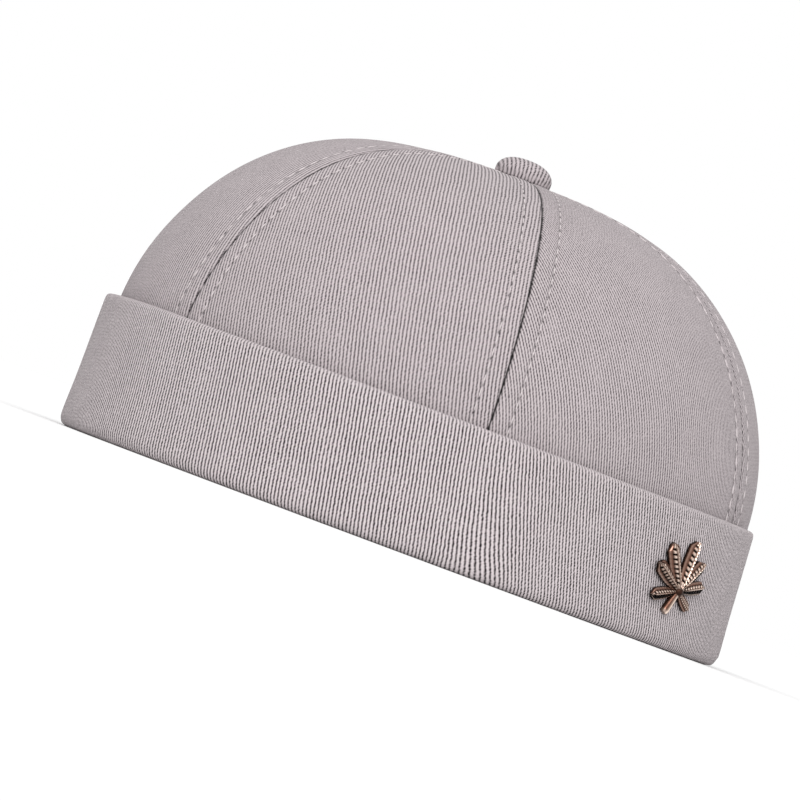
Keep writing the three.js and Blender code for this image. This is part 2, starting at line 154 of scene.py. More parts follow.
def runLengths(points):
    lengths = [0]
    for before, here in zip(points, points[1:]):
        lengths.append(lengths[-1] + (here - before).length)
    return lengths


def lengthOfShare(lengths, share):
    # length along a curve at a share of its even steps
    place = max(0, min(1, share)) * (len(lengths) - 1)
    i = min(int(place), len(lengths) - 2)
    return lengths[i] + (lengths[i + 1] - lengths[i]) * (place - i)


def shareOfLength(lengths, length):
    i = max(0, min(len(lengths) - 2, bisect.bisect_right(lengths, length) - 1))
    share = (length - lengths[i]) / (lengths[i + 1] - lengths[i])
    return (i + max(0, min(1, share))) / (len(lengths) - 1)


# lengths up the crown from its foot, for rows that are even on the cloth
meridianSteps = 1500
meridian = runLengths([crownSurface(math.pi / 4, i / meridianSteps) for i in range(meridianSteps + 1)])


def lengthAt(climb):
    return lengthOfShare(meridian, climb)


def climbAtLength(length):
    return shareOfLength(meridian, length)


poleShare = cap["poleRadius"] / (cap["rimHalfLength"] * cap["crownShare"])
poleTurn = math.acos(poleShare ** (cap["widthPower"] / 2))
poleClimb = cap["straightShare"] + (1 - cap["straightShare"]) * poleTurn / (math.pi / 2)
poleLength = lengthAt(poleClimb)
panelAngle = 2 * math.pi / cap["panels"]


def seamDistance(angle, climb):
    seam = round(angle / panelAngle) * panelAngle
    return abs(angle - seam) * crownSpeed((angle + seam) / 2, climb)


def archSize(spread):
    # half the width and the height of the back opening, wider by the spread
    return cap["archHalfWidth"] + spread, cap["archHeight"] + spread


def archRatio(place, spread):
    # below 1 inside the back opening; the front half is far from it
    wide, high = archSize(spread)
    return 9 if place.y < 0 else math.hypot(place.x / wide, place.z / high)


def smoothCurve(points, steps, closed=False):
    # Catmull-Rom curve through a few points, with the same number of steps between each two
    count = len(points)
    curve = []
    for span in range(count if closed else count - 1):
        near = range(span - 1, span + 3)
        a, b, c, d = (Vector(points[i % count if closed else max(0, min(count - 1, i))]) for i in near)
        for step in range(steps):
            t = step / steps
            curve.append(0.5 * (2 * b + (c - a) * t + (2 * a - 5 * b + 4 * c - d) * t ** 2
                                + (3 * b - a - 3 * c + d) * t ** 3))
    return curve if closed else curve + [Vector(points[-1])]


# Making pieces

def weld(bm):
    bmesh.ops.remove_doubles(bm, verts=bm.verts, dist=1e-4)


def addObject(name, data):
    made = bpy.data.objects.new(name, data)
    scene.collection.objects.link(made)
    return made


def addMesh(name, bm, material):
    mesh = bpy.data.meshes.new(name)
    bm.to_mesh(mesh)
    bm.free()
    mesh.materials.append(material)
    return addObject(name, mesh)


def finishPiece(name, bm, material, replaced=(), sharp=None):
    # sharp is the angle in degrees from which an edge stays sharp
    weld(bm)
    bmesh.ops.recalc_face_normals(bm, faces=bm.faces)
    bmesh.ops.scale(bm, vec=(mm, mm, mm), verts=bm.verts)
    for face in bm.faces:
        face.smooth = True
    piece = addMesh(name, bm, material)
    if sharp:
        piece.data.set_sharp_from_angle(angle=sharp * degree)
    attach(piece, "root")
    if replaced:
        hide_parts(*replaced)
    print("made", name, len(piece.data.polygons), "faces")


def newGrid(bm, columns, rows):
    # flat grid, with the column and row of each corner
    made = bmesh.ops.create_grid(bm, x_segments=columns, y_segments=rows, size=0.5)
    return {vert: (round((vert.co.x + 0.5) * columns), round((vert.co.y + 0.5) * rows))
            for vert in made["verts"]}


def layCharts(bm, charts, spots):
    # flat charts of the cloth in millimetres, worked out from the two numbers that place each corner
    for name, chart in charts.items():
        layer = bm.loops.layers.uv[name]
        flat = {vert: chart(*spot) for vert, spot in spots.items()}
        for face in bm.faces:
            for loop in face.loops:
                loop[layer].uv = flat[loop.vert]


def thicken(bm, faces):
    # gives the faces a second side and returns its corners
    made = bmesh.ops.extrude_face_region(bm, geom=faces, use_keep_orig=True)
    return [part for part in made["geom"] if isinstance(part, bmesh.types.BMVert)]


def clothSheet(columns, rows, spot, outer, inner, charts, archSpread=None):
    # wall of cloth on the crown: spot gives angle and climb, the rest is worked out from those two
    bm = bmesh.new()
    angleOf = bm.verts.layers.float.new("angle")
    climbOf = bm.verts.layers.float.new("climb")
    for name in charts:
        bm.loops.layers.uv.new(name)

    def stand(verts, depth):
        for vert in verts:
            angle, climb = vert[angleOf], vert[climbOf]
            vert.co = crownPoint(angle, climb, depth(angle, climb))

    for vert, place in newGrid(bm, columns, rows).items():
        vert[angleOf], vert[climbOf] = spot(*place)
        vert.co = crownSurface(vert[angleOf], vert[climbOf])
    if archSpread is not None:
        openArch(bm, angleOf, climbOf, archSpread)
    stand(bm.verts, outer)
    layCharts(bm, charts, {vert: (vert[angleOf], vert[climbOf]) for vert in bm.verts})
    weld(bm)
    bmesh.ops.recalc_face_normals(bm, faces=bm.faces)
    stand(thicken(bm, bm.faces[:]), inner)
    return bm


def openArch(bm, angleOf, climbOf, spread):
    # corners inside the back opening go to its edge
    inside = {vert for vert in bm.verts if archRatio(vert.co, spread) < 1}
    lost = [face for face in bm.faces if all(vert in inside for vert in face.verts)]
    bmesh.ops.delete(bm, geom=lost, context="FACES")
    for vert in bm.verts:
        ratio = archRatio(vert.co, spread)
        if ratio < 1:
            climb = climbAt(vert.co.z / ratio)
            vert[angleOf] = angleAtBack(vert.co.x / ratio, climb)
            vert[climbOf] = climb


def sweptPiece(columns, rows, place, chart):
    # closed section (rows) carried along a path (columns), with both ends filled
    bm = bmesh.new()
    layer = bm.loops.layers.uv.new("cloth")
    spots = newGrid(bm, columns, rows)
    layCharts(bm, {"cloth": chart}, spots)
    for vert, spot in spots.items():
        vert.co = place(*spot)
    weld(bm)
    ends = [edge for edge in bm.edges if edge.is_boundary]
    for face in bmesh.ops.holes_fill(bm, edges=ends, sides=0)["faces"]:
        face.normal_update()
        level = face.normal.cross(Vector((0, 0, 1)))
        for loop in face.loops:
            loop[layer].uv = (loop.vert.co.dot(level), loop.vert.co.z)
    return bm


def bandSection(width, thickness, across):
    # outline of a flat band as (across, square) pairs, rounded at both edges
    radius = thickness / 2
    flat = width / 2 - radius
    upper = [(-flat + 2 * flat * i / across, radius) for i in range(across + 1)]
    upper += [(flat + radius * math.sin(turn), radius * math.cos(turn))
              for turn in (0.25 * math.pi, 0.5 * math.pi, 0.75 * math.pi)]
    return upper + [(-high, -square) for high, square in upper]


def spunPiece(profile, steps):
    # profile of (radius, height) pairs turned round the z axis
    bm = bmesh.new()
    verts = [bm.verts.new((radius, 0, height)) for radius, height in profile]
    edges = [bm.edges.new(pair) for pair in zip(verts, verts[1:])]
    bmesh.ops.spin(bm, geom=verts + edges, cent=(0, 0, 0), axis=(0, 0, 1), dvec=(0, 0, 0),
                   angle=2 * math.pi, steps=steps, use_merge=True, use_duplicate=False)
    weld(bm)
    return bm


# Materials

def operator(kind, swapped=False):
    def apply(self, value):
        return self.math(kind, value, self) if swapped else self.math(kind, self, value)
    return apply


class Flow:
    # one output of a material's nodes, with arithmetic
    __add__, __radd__ = operator("ADD"), operator("ADD", swapped=True)
    __sub__, __rsub__ = operator("SUBTRACT"), operator("SUBTRACT", swapped=True)
    __mul__, __rmul__ = operator("MULTIPLY"), operator("MULTIPLY", swapped=True)
    __truediv__, __pow__ = operator("DIVIDE"), operator("POWER")

    def __init__(self, tree, socket=None):
        self.tree = tree
        self.socket = socket

    def add(self, kind, settings, values, output=0):
        node = self.tree.nodes.new(kind)
        for name, value in settings.items():
            setattr(node, name, value)
        for name, value in values.items():
            if isinstance(value, Flow):
                self.tree.links.new(value.socket, node.inputs[name])
            else:
                node.inputs[name].default_value = value
        return Flow(self.tree, node.outputs[output])

    def other(self, output):
        return Flow(self.tree, self.socket.node.outputs[output])

    def math(self, operation, first, second=0.0):
        return self.add("ShaderNodeMath", {"operation": operation}, {0: first, 1: second})

    def wrapped(self, length):
        # distance to the nearest whole number of lengths
        return self.add("ShaderNodeMath", {"operation": "WRAP"}, {0: self, 1: length / 2, 2: -length / 2})

    def atMost(self, limit):
        return self.math("MINIMUM", self, limit)

    def wave(self):
        # 1 at whole numbers and 0 halfway between them
        return 0.5 + 0.5 * self.math("COSINE", self * (2 * math.pi))

    def bell(self, width):
        return self.math("EXPONENT", (self * self) * (-1 / width ** 2))

    def mixed(self, low, high):
        # colour from low to high as this value goes from 0 to 1
        return self.add("ShaderNodeMix", {"data_type": "RGBA"}, {0: self, 6: low, 7: high}, 2)


def shade(red, green, blue):
    # colour as it is seen on a screen, turned into the linear one that shaders take
    def linear(value):
        value /= 255
        return value / 12.92 if value <= 0.04045 else ((value + 0.055) / 1.055) ** 2.4
    return (linear(red), linear(green), linear(blue), 1)


def newCloth(name, roughness, sheen, sheenRoughness, specular):
    return newMaterial(name, {"Roughness": roughness, "Sheen Weight": sheen,
                              "Sheen Roughness": sheenRoughness, "Specular IOR Level": specular})


def newMaterial(name, fixed):
    material = bpy.data.materials.new(name)
    material.use_nodes = True
    tree = material.node_tree
    shader = tree.nodes["Principled BSDF"]
    for socket, value in fixed.items():
        shader.inputs[socket].default_value = value
    return material, Flow(tree), shader


def plug(flow, shader, colour=None, roughness=None, height=None, depth=0.1):
    # what changes over the surface; the depth of the relief is in millimetres
    if colour:
        flow.tree.links.new(colour.socket, shader.inputs["Base Color"])
    if roughness:
        flow.tree.links.new(roughness.socket, shader.inputs["Roughness"])
    if height:
        bump = flow.add("ShaderNodeBump", {}, {"Strength": 1.0, "Distance": depth * mm, "Height": height})
        flow.tree.links.new(bump.socket, shader.inputs["Normal"])


def chartOf(flow, name):
    chart = flow.add("ShaderNodeUVMap", {"uv_map": name}, {})
    across = flow.add("ShaderNodeSeparateXYZ", {}, {0: chart})
    return chart, across, across.other(1)


def noiseOf(flow, place, scale, detail=2.0):
    return flow.add("ShaderNodeTexNoise", {}, {"Vector": place, "Scale": scale, "Detail": detail})


def objectPlace(flow):
    return flow.add("ShaderNodeTexCoord", {}, {}, 3)


seamRow = {                    # topstitching beside the seams and round the back opening
    "inset": 5.5,
    "pitch": 4,
    "length": 3.1,
    "thickness": 0.36,
    "proud": 0.06,             # how far the middle of the thread stands off the cloth
    "startHeight": 32,         # behind the cuff
    "aboveArch": 3,
    "belowPole": 9,
}
twillLook = {
    "light": shade(170, 161, 163),
    "dark": shade(52, 46, 49),
    "lean": 17 * degree,       # ribs lean towards the front as they climb
    "ribPitch": 1.02,
    "floatLength": 1.05,
    "step": 0.23,              # how far the floats shift from rib to rib
    "drift": 0.45,             # slow and quick wandering of the ribs
    "jitter": 0.4,
    "scatter": 1.9,            # how much the floats fall out of step
    "slant": 0.32,             # each dash leans across its rib
    "grooveShade": 0.58,       # darkening of the grooves between ribs, and of the pits in them
    "pitShade": 0.42,
    "relief": 0.16,
    "foldAt": 0,               # where the cloth is folded over, if it is; the ribs are pressed flat there
    "foldWidth": 2.1,
}


def twillRelief(flow, chart, across, up, look):
    lean = look["lean"]
    fibre = noiseOf(flow, chart, 2.6)
    ribs = ((across * math.cos(lean) + up * math.sin(lean)) / look["ribPitch"]
            + look["drift"] * (noiseOf(flow, chart, 0.11) - 0.5)
            + look["jitter"] * (noiseOf(flow, chart, 0.8) - 0.5))
    floats = ((up * math.cos(lean) - across * math.sin(lean)) / look["floatLength"] + look["step"] * ribs
              + look["scatter"] * (noiseOf(flow, chart, 0.7, 1.0) - 0.5))
    slant = look["slant"] * (floats.math("FRACT", floats) - 0.5)
    ridge = (ribs - 0.35 * slant).wave()
    bridge = floats.wave()
    groove = (1 - ridge) ** 1.5
    pit = (1 - (ribs - slant).wave()) ** 3.0 * (1 - 0.95 * bridge ** 2.2) * (0.4 + 1.2 * fibre)
    darkness = look["grooveShade"] * groove + look["pitShade"] * pit + 0.35 * (fibre - 0.5)
    height = 1 - 0.55 * groove - 0.45 * pit + 0.16 * bridge * ridge + 0.3 * (fibre - 0.5)
    return height, darkness, fibre


def sewnEdge(flow, name, height, tone):
    # crease along the edge, needle holes and puckers along its topstitching, with painted shade in the
    # crease, in the needle holes and a little along the stitched row
    chart, inset, along = chartOf(flow, name)
    pitch = seamRow["pitch"]
    fromRow = inset - seamRow["inset"]
    fromStitch = along.wrapped(pitch)
    depth = noiseOf(flow, chart, 0.31, 1.0)
    wander = noiseOf(flow, chart, 0.42, 1.0) - 0.5
    row = fromRow.bell(0.5)
    hole = fromRow.bell(0.26) * fromStitch.bell(0.36) * (2.2 * depth - 0.2)
    fold = 0.85 * (inset - 0.7 * wander).bell(0.27) + 0.25 * inset.bell(0.5)
    # painted shade in the crease, darkest at the edge
    creaseShade = 1 - 0.95 * fold * (0.45 + depth)
    pucker = (inset - 0.7 * seamRow["inset"]).bell(3.5) * (along / pitch).wave()
    height = height - 0.9 * row - 2.2 * hole - 0.5 * pucker
    # painted shade: darker in the needle holes, along the stitched row and in the crease
    tone = tone * (1 - 0.6 * hole) * (1 - 0.06 * row) * creaseShade.math("MAXIMUM", creaseShade, 0.04)
    return height, tone


def makeTwill(name, look, sewnEdges=()):
    material, flow, shader = newCloth(name, 0.9, 0.06, 0.6, 0.18)
    chart, across, up = chartOf(flow, "cloth")
    height, darkness, fibre = twillRelief(flow, chart, across, up, look)
    tone = 0.9 + 0.12 * noiseOf(flow, chart, 0.03, 3.0) + 0.1 * fibre
    darkness = darkness * (0.75 + 0.5 * noiseOf(flow, chart, 0.12))
    if look["foldAt"]:
        folded = (up - look["foldAt"]).bell(look["foldWidth"])
        darkness = darkness * (1 - 0.7 * folded) + 0.16 * folded
    for edge in sewnEdges:
        height, tone = sewnEdge(flow, edge, height, tone)
    weave = darkness.mixed(look["light"], look["dark"])
    colour = flow.add("ShaderNodeMix", {"data_type": "RGBA", "blend_type": "MULTIPLY"},
                      {0: 1.0, 6: weave, 7: tone}, 2)
    plug(flow, shader, colour=colour, roughness=0.8 + 0.15 * fibre, height=height, depth=look["relief"])
    return material


bandWeave = {"light": shade(18, 16, 17), "dark": shade(4, 3, 4), "threadPitch": 0.55, "relief": 0.06,
             "roughness": 0.8, "sheen": 0.02}
liningWeave = {"light": shade(28, 26, 28), "dark": shade(9, 8, 9), "threadPitch": 0.42, "relief": 0.03,
               "roughness": 0.5, "sheen": 0.03}
tapeWeave = {"light": shade(42, 40, 42), "dark": shade(14, 13, 14), "threadPitch": 0.6, "relief": 0.06,
             "roughness": 0.6, "sheen": 0.04}


def makePlainWeave(name, look):
    material, flow, shader = newCloth(name, look["roughness"], look["sheen"], 0.45, 0.12)
    chart, across, up = chartOf(flow, "cloth")
    warp, weft = across / look["threadPitch"], up / look["threadPitch"]
    check = (warp * 0.5 + weft * 0.5).wave()
    height = warp.wave() * (1 - check) + weft.wave() * check
    fibre = noiseOf(flow, chart, 1.8, 3.0)
    tone = height * 0.6 + fibre * 0.6
    plug(flow, shader, colour=tone.mixed(look["dark"], look["light"]),
         roughness=look["roughness"] - 0.1 + 0.2 * fibre, height=height + 0.5 * fibre, depth=look["relief"])
    return material


webbingLook = {
    "light": shade(70, 66, 66),
    "dark": shade(30, 28, 28),
    "lean": 14 * degree,       # ribs run nearly along the webbing
    "ribPitch": 1.15,
    "pickPitch": 0.75,
    "relief": 0.1,
}


def makeWebbing(name, look):
    material, flow, shader = newCloth(name, 0.85, 0.08, 0.5, 0.15)
    chart, along, across = chartOf(flow, "cloth")
    lean = look["lean"]
    ribs = (across * math.cos(lean) + along * math.sin(lean)) / look["ribPitch"]
    pick = (along / look["pickPitch"] + 0.5 * ribs).wave()
    fibre = noiseOf(flow, chart, 2.2)
    patch = noiseOf(flow, chart, 0.07)
    height = ribs.wave() ** 0.8 * (0.75 + 0.25 * pick)
    tone = (height * 0.75 + fibre * 0.35) * (0.6 + 0.7 * patch)
    plug(flow, shader, colour=tone.mixed(look["dark"], look["light"]),
         roughness=0.75 + 0.2 * fibre, height=height + 0.3 * fibre, depth=look["relief"])
    return material


def makeThread(name, light, dark):
    material, flow, shader = newMaterial(name, {"Specular IOR Level": 0.3, "Sheen Weight": 0.1})
    twist = noiseOf(flow, objectPlace(flow), 2500.0, 1.0)
    plug(flow, shader, colour=twist.mixed(dark, light), roughness=0.6 + 0.3 * twist,
         height=twist, depth=0.05)
    return material


def makeMetal(name, light, dark, roughness):
    material, flow, shader = newMaterial(name, {"Metallic": 1.0})
    place = objectPlace(flow)
    cloud = noiseOf(flow, place, 400.0, 4.0)
    scratch = noiseOf(flow, place, 3000.0)
    plug(flow, shader, colour=cloud.mixed(dark, light), roughness=roughness - 0.06 + 0.16 * cloud,
         height=cloud + 0.3 * scratch, depth=0.02)
    return material


def makeCasting(name, bright, warm, patinaShadeColour):
    # cast rose metal, blackened with patina in its hollows and with painted shade on the half of each
    # leaflet turned from the light, and rubbed bright on its raised parts, with painted highlight on the
    # rib tops of the half turned to the light
    material, flow, shader = newMaterial(name, {"Metallic": 1.0})
    cloud = noiseOf(flow, objectPlace(flow), 450.0, 3.0)
    patinaAndShade, polishAndHighlight = (flow.add("ShaderNodeAttribute", {"attribute_name": layer}, {}, 2)
                      for layer in ("patinaAndShade", "polishAndHighlight"))
    # darkness: patina in the hollows and painted shade on the half of each leaflet turned from the light
    patinaAndShadeAmount = (patinaAndShade * (0.75 + 0.6 * cloud)).atMost(1.0)
    # brightness: rubbed bright on the raised parts, with painted highlight on the rib tops of the half
    # turned to the light
    metal = (polishAndHighlight * (0.8 + 0.4 * cloud)).atMost(1.0).mixed(warm, bright)
    plug(flow, shader, colour=patinaAndShadeAmount.mixed(metal, patinaShadeColour), roughness=0.2 + 0.35 * patinaAndShadeAmount + 0.1 * cloud,
         height=cloud, depth=0.03)
    return material


twill = makeTwill("light_twill", twillLook, ["seam", "hem"])
rolledTwill = makeTwill("cuff_twill", twillLook | {
    "light": shade(185, 176, 178),
    "dark": shade(20, 16, 18),
    "grooveShade": 0.66,
    "pitShade": 0.55,
    "relief": 0.2,
    "foldAt": 45.3,
})
buttonTwill = makeTwill("button_twill", twillLook | {
    "ribPitch": 1.25,
    "floatLength": 1.2,
    "lean": 56 * degree,
    "relief": 0.2,
})
# the crown's twill painted darker on the hem turned in at the back opening: painted shade
shadedHemTwill = makeTwill("hem_twill_painted_shade", twillLook | {
    "light": shade(150, 141, 143),
    "grooveShade": 0.3,
    "pitShade": 0.3,
    "relief": 0.1,
})
blackCloth = makePlainWeave("black_band_cloth", bandWeave)
liningCloth = makePlainWeave("dark_lining_cloth", liningWeave)
tapeCloth = makePlainWeave("seam_tape_cloth", tapeWeave)
webbing = makeWebbing("charcoal_webbing", webbingLook)
greyThread = makeThread("grey_thread", shade(203, 195, 196), shade(162, 154, 155))
blackThread = makeThread("black_thread", shade(40, 38, 40), shade(18, 17, 18))
nickel = makeMetal("polished_nickel", shade(226, 222, 216), shade(196, 192, 186), 0.2)
# nickel painted darker for the rivet: painted reflection of the dark inside of the crown
shadedNickel = makeMetal("nickel_painted_shade", shade(136, 133, 130), shade(88, 86, 85), 0.18)
roseCasting = makeCasting("rose_casting", shade(255, 234, 218), shade(116, 83, 70), shade(14, 9, 8))
print("materials ready")


# Crown: six panels, each turned in at its seams

panelLook = {
    "wall": 1.5,
    "seamOffsets": [0, 0.05, 0.16, 0.4, 0.8, 1.7, 3.3, 4.8, 5.5, 6.2, 7.6],
    "seamGap": 0.06,           # from the middle of a seam to the panel, on both sides of it
    "middleColumns": 26,
    "rows": 84,
    "bulge": 0.6,              # middle of a panel stands proud of its seams
    "welt": 0.22,              # seam allowance lifts the cloth beside the seam
    "seamTurn": 0.85,          # how deep the cloth turns in at a seam and at the hem
    "hemTurn": 1.1,
    "rowDip": 0.1,
    "sway": 0.3,               # slight unevenness of the cloth
    "swaySize": 34,
    "archSpread": 0.6,         # how much wider the cut is than the opening in its hem
    "sideTightness": 1.1,      # ribs of the side panels are this much closer
    "chartShift": 37.3,        # keeps the weave of one panel from running on in the next
    "ribBend": 0.0007,         # ribs stand straighter above this length up the crown
    "ribBendFrom": 45,
}
panelNames = ["panel_front_left", "panel_side_left", "panel_back_left",
              "panel_back_right", "panel_side_right", "panel_front_right"]
seamColumns = len(panelLook["seamOffsets"]) - 1
panelColumns = 2 * seamColumns + panelLook["middleColumns"]


def panelSpot(number, column, row):
    # columns keep their distance from the seams, in millimetres, up to where the panel is too narrow
    offsets = panelLook["seamOffsets"]
    climb = climbAtLength(poleLength * row / panelLook["rows"])
    seam = number * panelAngle
    width = panelAngle * crownSpeed(seam + panelAngle / 2, climb)
    squeeze = min(1, width / 2 / (offsets[-1] * 1.3))
    if column <= seamColumns:
        inset = offsets[column] * squeeze
    elif column >= panelColumns - seamColumns:
        inset = width - offsets[panelColumns - column] * squeeze
    else:
        edge = offsets[-1] * squeeze
        inset = edge + (width - 2 * edge) * (column - seamColumns) / panelLook["middleColumns"]
    gap = panelLook["seamGap"] / width
    return seam + panelAngle * (gap + (1 - 2 * gap) * inset / width), climb


def clothSway(place, size, depth):
    return depth * noise.noise(place / size)


def panelDepth(number, angle, climb):
    share = angle / panelAngle - number
    nearest = min(share, 1 - share) * panelAngle * crownSpeed(angle, climb)
    seamTurn = panelLook["seamTurn"] * (1 - rise(nearest, -0.1, 0.5)) ** 2
    hemTurn = panelLook["hemTurn"] * (1 - rise(domeHeight(climb)[0] - cap["hemHeight"], 0, 0.9)) ** 2
    welt = panelLook["welt"] * rise(nearest, 0.4, 1.6) * (1 - rise(nearest, 4.6, 5.6))
    row = panelLook["rowDip"] * bell(nearest - seamRow["inset"], 0.7)
    free = rise(climb, 0.3, 0.45) * (1 - rise(climb, 0.8, 0.98))
    bulge = panelLook["bulge"] * math.sin(math.pi * share) ** 2 * free
    sway = clothSway(crownSurface(angle, climb), panelLook["swaySize"], panelLook["sway"])
    return seamTurn + row - welt - bulge - sway * rise(nearest, 1, 14) * (0.3 + 0.7 * free) + hemTurn


def panelCharts(number):
    middle = (number + 0.5) * panelAngle
    tightness = panelLook["sideTightness"] if "side" in panelNames[number] else 1
    farAway = 60               # for corners that no hem is near to

    def cloth(angle, climb):
        across = (angle - middle) * crownSpeed((angle + middle) / 2, climb)
        up = lengthAt(climb)
        straighter = panelLook["ribBend"] * max(0, up - panelLook["ribBendFrom"]) ** 2
        return across * tightness + straighter + panelLook["chartShift"] * number, up

    def seam(angle, climb):
        near = number * panelAngle if angle < middle else (number + 1) * panelAngle
        return abs(angle - near) * crownSpeed((angle + near) / 2, climb), lengthAt(climb)

    def hem(angle, climb):
        place = crownSurface(angle, climb)
        ratio = archRatio(place, 0)
        if ratio > 2:
            return farAway, 0
        turn = math.atan2(place.z / cap["archHeight"], place.x / cap["archHalfWidth"])
        reach = math.hypot(place.x, place.z)
        return reach - reach / ratio, lengthOfShare(archLengths, turn / math.pi)

    return {"cloth": cloth, "seam": seam, "hem": hem}


def archSpot(turn):
    # place on the edge of the back opening
    across = cap["archHalfWidth"] * math.cos(turn)
    climb = climbAt(cap["archHeight"] * math.sin(turn))
    return angleAtBack(across, climb), climb


archSteps = 240
archLengths = runLengths([crownSurface(*archSpot(math.pi * i / archSteps)) for i in range(archSteps + 1)])


def makePanel(number, name):
    bm = clothSheet(
        panelColumns, panelLook["rows"],
        lambda column, row: panelSpot(number, column, row),
        lambda angle, climb: panelDepth(number, angle, climb),
        lambda angle, climb: panelLook["wall"],
        panelCharts(number),
        panelLook["archSpread"] if "back" in name else None,
    )
    finishPiece("cloth_" + name, bm, twill, [name])


for number, name in enumerate(panelNames):
    makePanel(number, name)


# Stitches of all topstitched rows, as one piece of thread for each kind of row

def addStitch(bm, start, end, outward, thickness):
    along = end - start
    side = along.cross(outward).normalized()
    up = side.cross(along).normalized()
    turn = Matrix((side, along.normalized(), up)).transposed().to_4x4()
    size = Matrix.Diagonal((thickness / 2, along.length / 2, thickness / 2, 1))
    bmesh.ops.create_uvsphere(bm, u_segments=6, v_segments=5, radius=1,
                              matrix=Matrix.Translation((start + end) / 2) @ turn @ size)


def stitchRow(bm, spotAt, first, last, depth, look):
    # spotAt gives angle and climb at a length along the row
    for i in range(int((last - first) / look["pitch"])):
        middle = first + look["pitch"] * (i + 0.5)
        start, end = (crownPoint(*spotAt(middle + side * look["length"] / 2), depth) for side in (-1, 1))
        addStitch(bm, start, end, crownNormal(*spotAt(middle)), look["thickness"])


def makeSeamStitches():
    bm = bmesh.new()

    def wholePitches(height, gap):
        return seamRow["pitch"] * math.ceil((lengthAt(climbAt(height)) + gap) / seamRow["pitch"])

    behindCuff = wholePitches(seamRow["startHeight"], 0)
    overArch = wholePitches(cap["archHeight"], seamRow["aboveArch"])
    for seam in range(cap["panels"]):
        angle = seam * panelAngle
        first = overArch if seam == cap["panels"] // 2 else behindCuff
        for side in (-1, 1):
            def spotAt(length):
                climb = climbAtLength(length)
                return angle + side * seamRow["inset"] / crownSpeed(angle, climb), climb
            stitchRow(bm, spotAt, first, poleLength - seamRow["belowPole"], -seamRow["proud"], seamRow)
    finishPiece("seam_stitches", bm, greyThread)


def makeArchStitches():
    bm = bmesh.new()

    def spotAt(length):
        turn = math.pi * shareOfLength(archLengths, length)
        edge = Vector((cap["archHalfWidth"] * math.cos(turn), cap["archHeight"] * math.sin(turn)))
        edge += edge.normalized() * seamRow["inset"]
        climb = climbAt(edge.y)
        return angleAtBack(edge.x, climb), climb

    first = seamRow["pitch"]
    stitchRow(bm, spotAt, first, archLengths[-1] - first, -seamRow["proud"], seamRow)
    finishPiece("arch_stitches", bm, greyThread)


makeSeamStitches()
makeArchStitches()


# Hem: the cloth turned in round the edge of the back opening

hemLook = {
    "outside": -0.2,
    "inside": 2.05,
    "width": 1.8,
    "lip": 0.45,               # how far it stands into the opening
    "squareness": 0.55,        # of the section: 1 would be an oval
    "steps": 150,
    "around": 28,
    "chartSteps": (0.8, 0.45),
}


def makeArchHem():
    look = hemLook
    middle = (look["outside"] + look["inside"]) / 2
    half = (look["inside"] - look["outside"]) / 2
    centre = (look["width"] - look["lip"]) / 2
    reach = (look["width"] + look["lip"]) / 2

    def squarer(value):
        return math.copysign(abs(value) ** look["squareness"], value)

    turns = [2 * math.pi * i / look["around"] for i in range(look["around"])]
    section = [(centre + reach * squarer(math.cos(turn)), middle + half * squarer(math.sin(turn)))
               for turn in turns]
    foot = math.asin(cap["hemHeight"] / cap["archHeight"])

    def frameAt(column):
        turn = foot + (math.pi - 2 * foot) * column / look["steps"]
        angle, climb = archSpot(turn)
        here = crownSurface(angle, climb)
        tangent = crownSurface(*archSpot(turn + 0.01)) - crownSurface(*archSpot(turn - 0.01))
        outward = crownNormal(angle, climb)
        away = tangent.cross(outward).normalized()
        if away.dot(Vector((here.x, 0, here.z))) < 0:
            away = -away
        return here, outward, away

    frames = [frameAt(column) for column in range(look["steps"] + 1)]

    def place(column, row):
        here, outward, away = frames[column]
        inset, depth = section[row % len(section)]
        return here + away * inset - outward * depth

    def cloth(column, row):
        return column * look["chartSteps"][0], row * look["chartSteps"][1]

    bm = sweptPiece(look["steps"], look["around"], place, cloth)
    finishPiece("arch_hem", bm, shadedHemTwill, sharp=50)


makeArchHem()


# Cuff: twill rolled up round the crown, with its fold turned in below the crown's hem

cuffLook = {
    "height": 39.4,
    "lean": 1.6,
    "wall": 2.8,
    "endAngle": 128 * degree,
    "foldHeight": 2,
    "foldReach": 6.9,
    "steps": 260,
    "sway": 0.35,              # unevenness inwards and downwards, none at the foot
    "swaySize": 38,
    "drop": 0.5,
    "dropSize": 60,
    "cornerRadius": 3.2,
    "grainTwist": 0.14,        # ribs stand straighter at the front than beside the pin
    "twistEnds": (58 * degree, 72 * degree),
    "twistAbout": 45,          # place up the cloth that the twist leaves as it is: the top fold
}


def cuffOutline():
    height, lean, wall = cuffLook["height"], cuffLook["lean"], cuffLook["wall"]
    fold, reach = cuffLook["foldHeight"], cuffLook["foldReach"]
    wallTop = lean + wall + 0.2
    foot = [(reach - 1.1, 0), (4.2, -0.02), (2.3, 0.08), (1.0, 0.6), (0.3, 1.7), (0.02, 3.4), (0.2, 8)]
    outside = [(lean * 0.35, height * 0.35), (lean * 0.62, height * 0.62), (lean * 0.86, height * 0.86),
               (lean - 0.02, height - 1.5)]
    top = [(lean + 0.35, height - 0.4), (lean + 1.2, height), (wallTop - 1, height - 0.05),
           (wallTop - 0.25, height - 0.6), (wallTop, height - 1.8)]
    inside = [(wall + 0.1 + lean * 0.5, height * 0.5), (wall, fold + 3), (wall + 0.15, fold + 0.6)]
    turnedIn = [(wall + 0.8, fold), (reach - 0.7, fold), (reach, fold - 0.7), (reach - 0.25, 0.45)]
    return foot + outside + top + inside + turnedIn


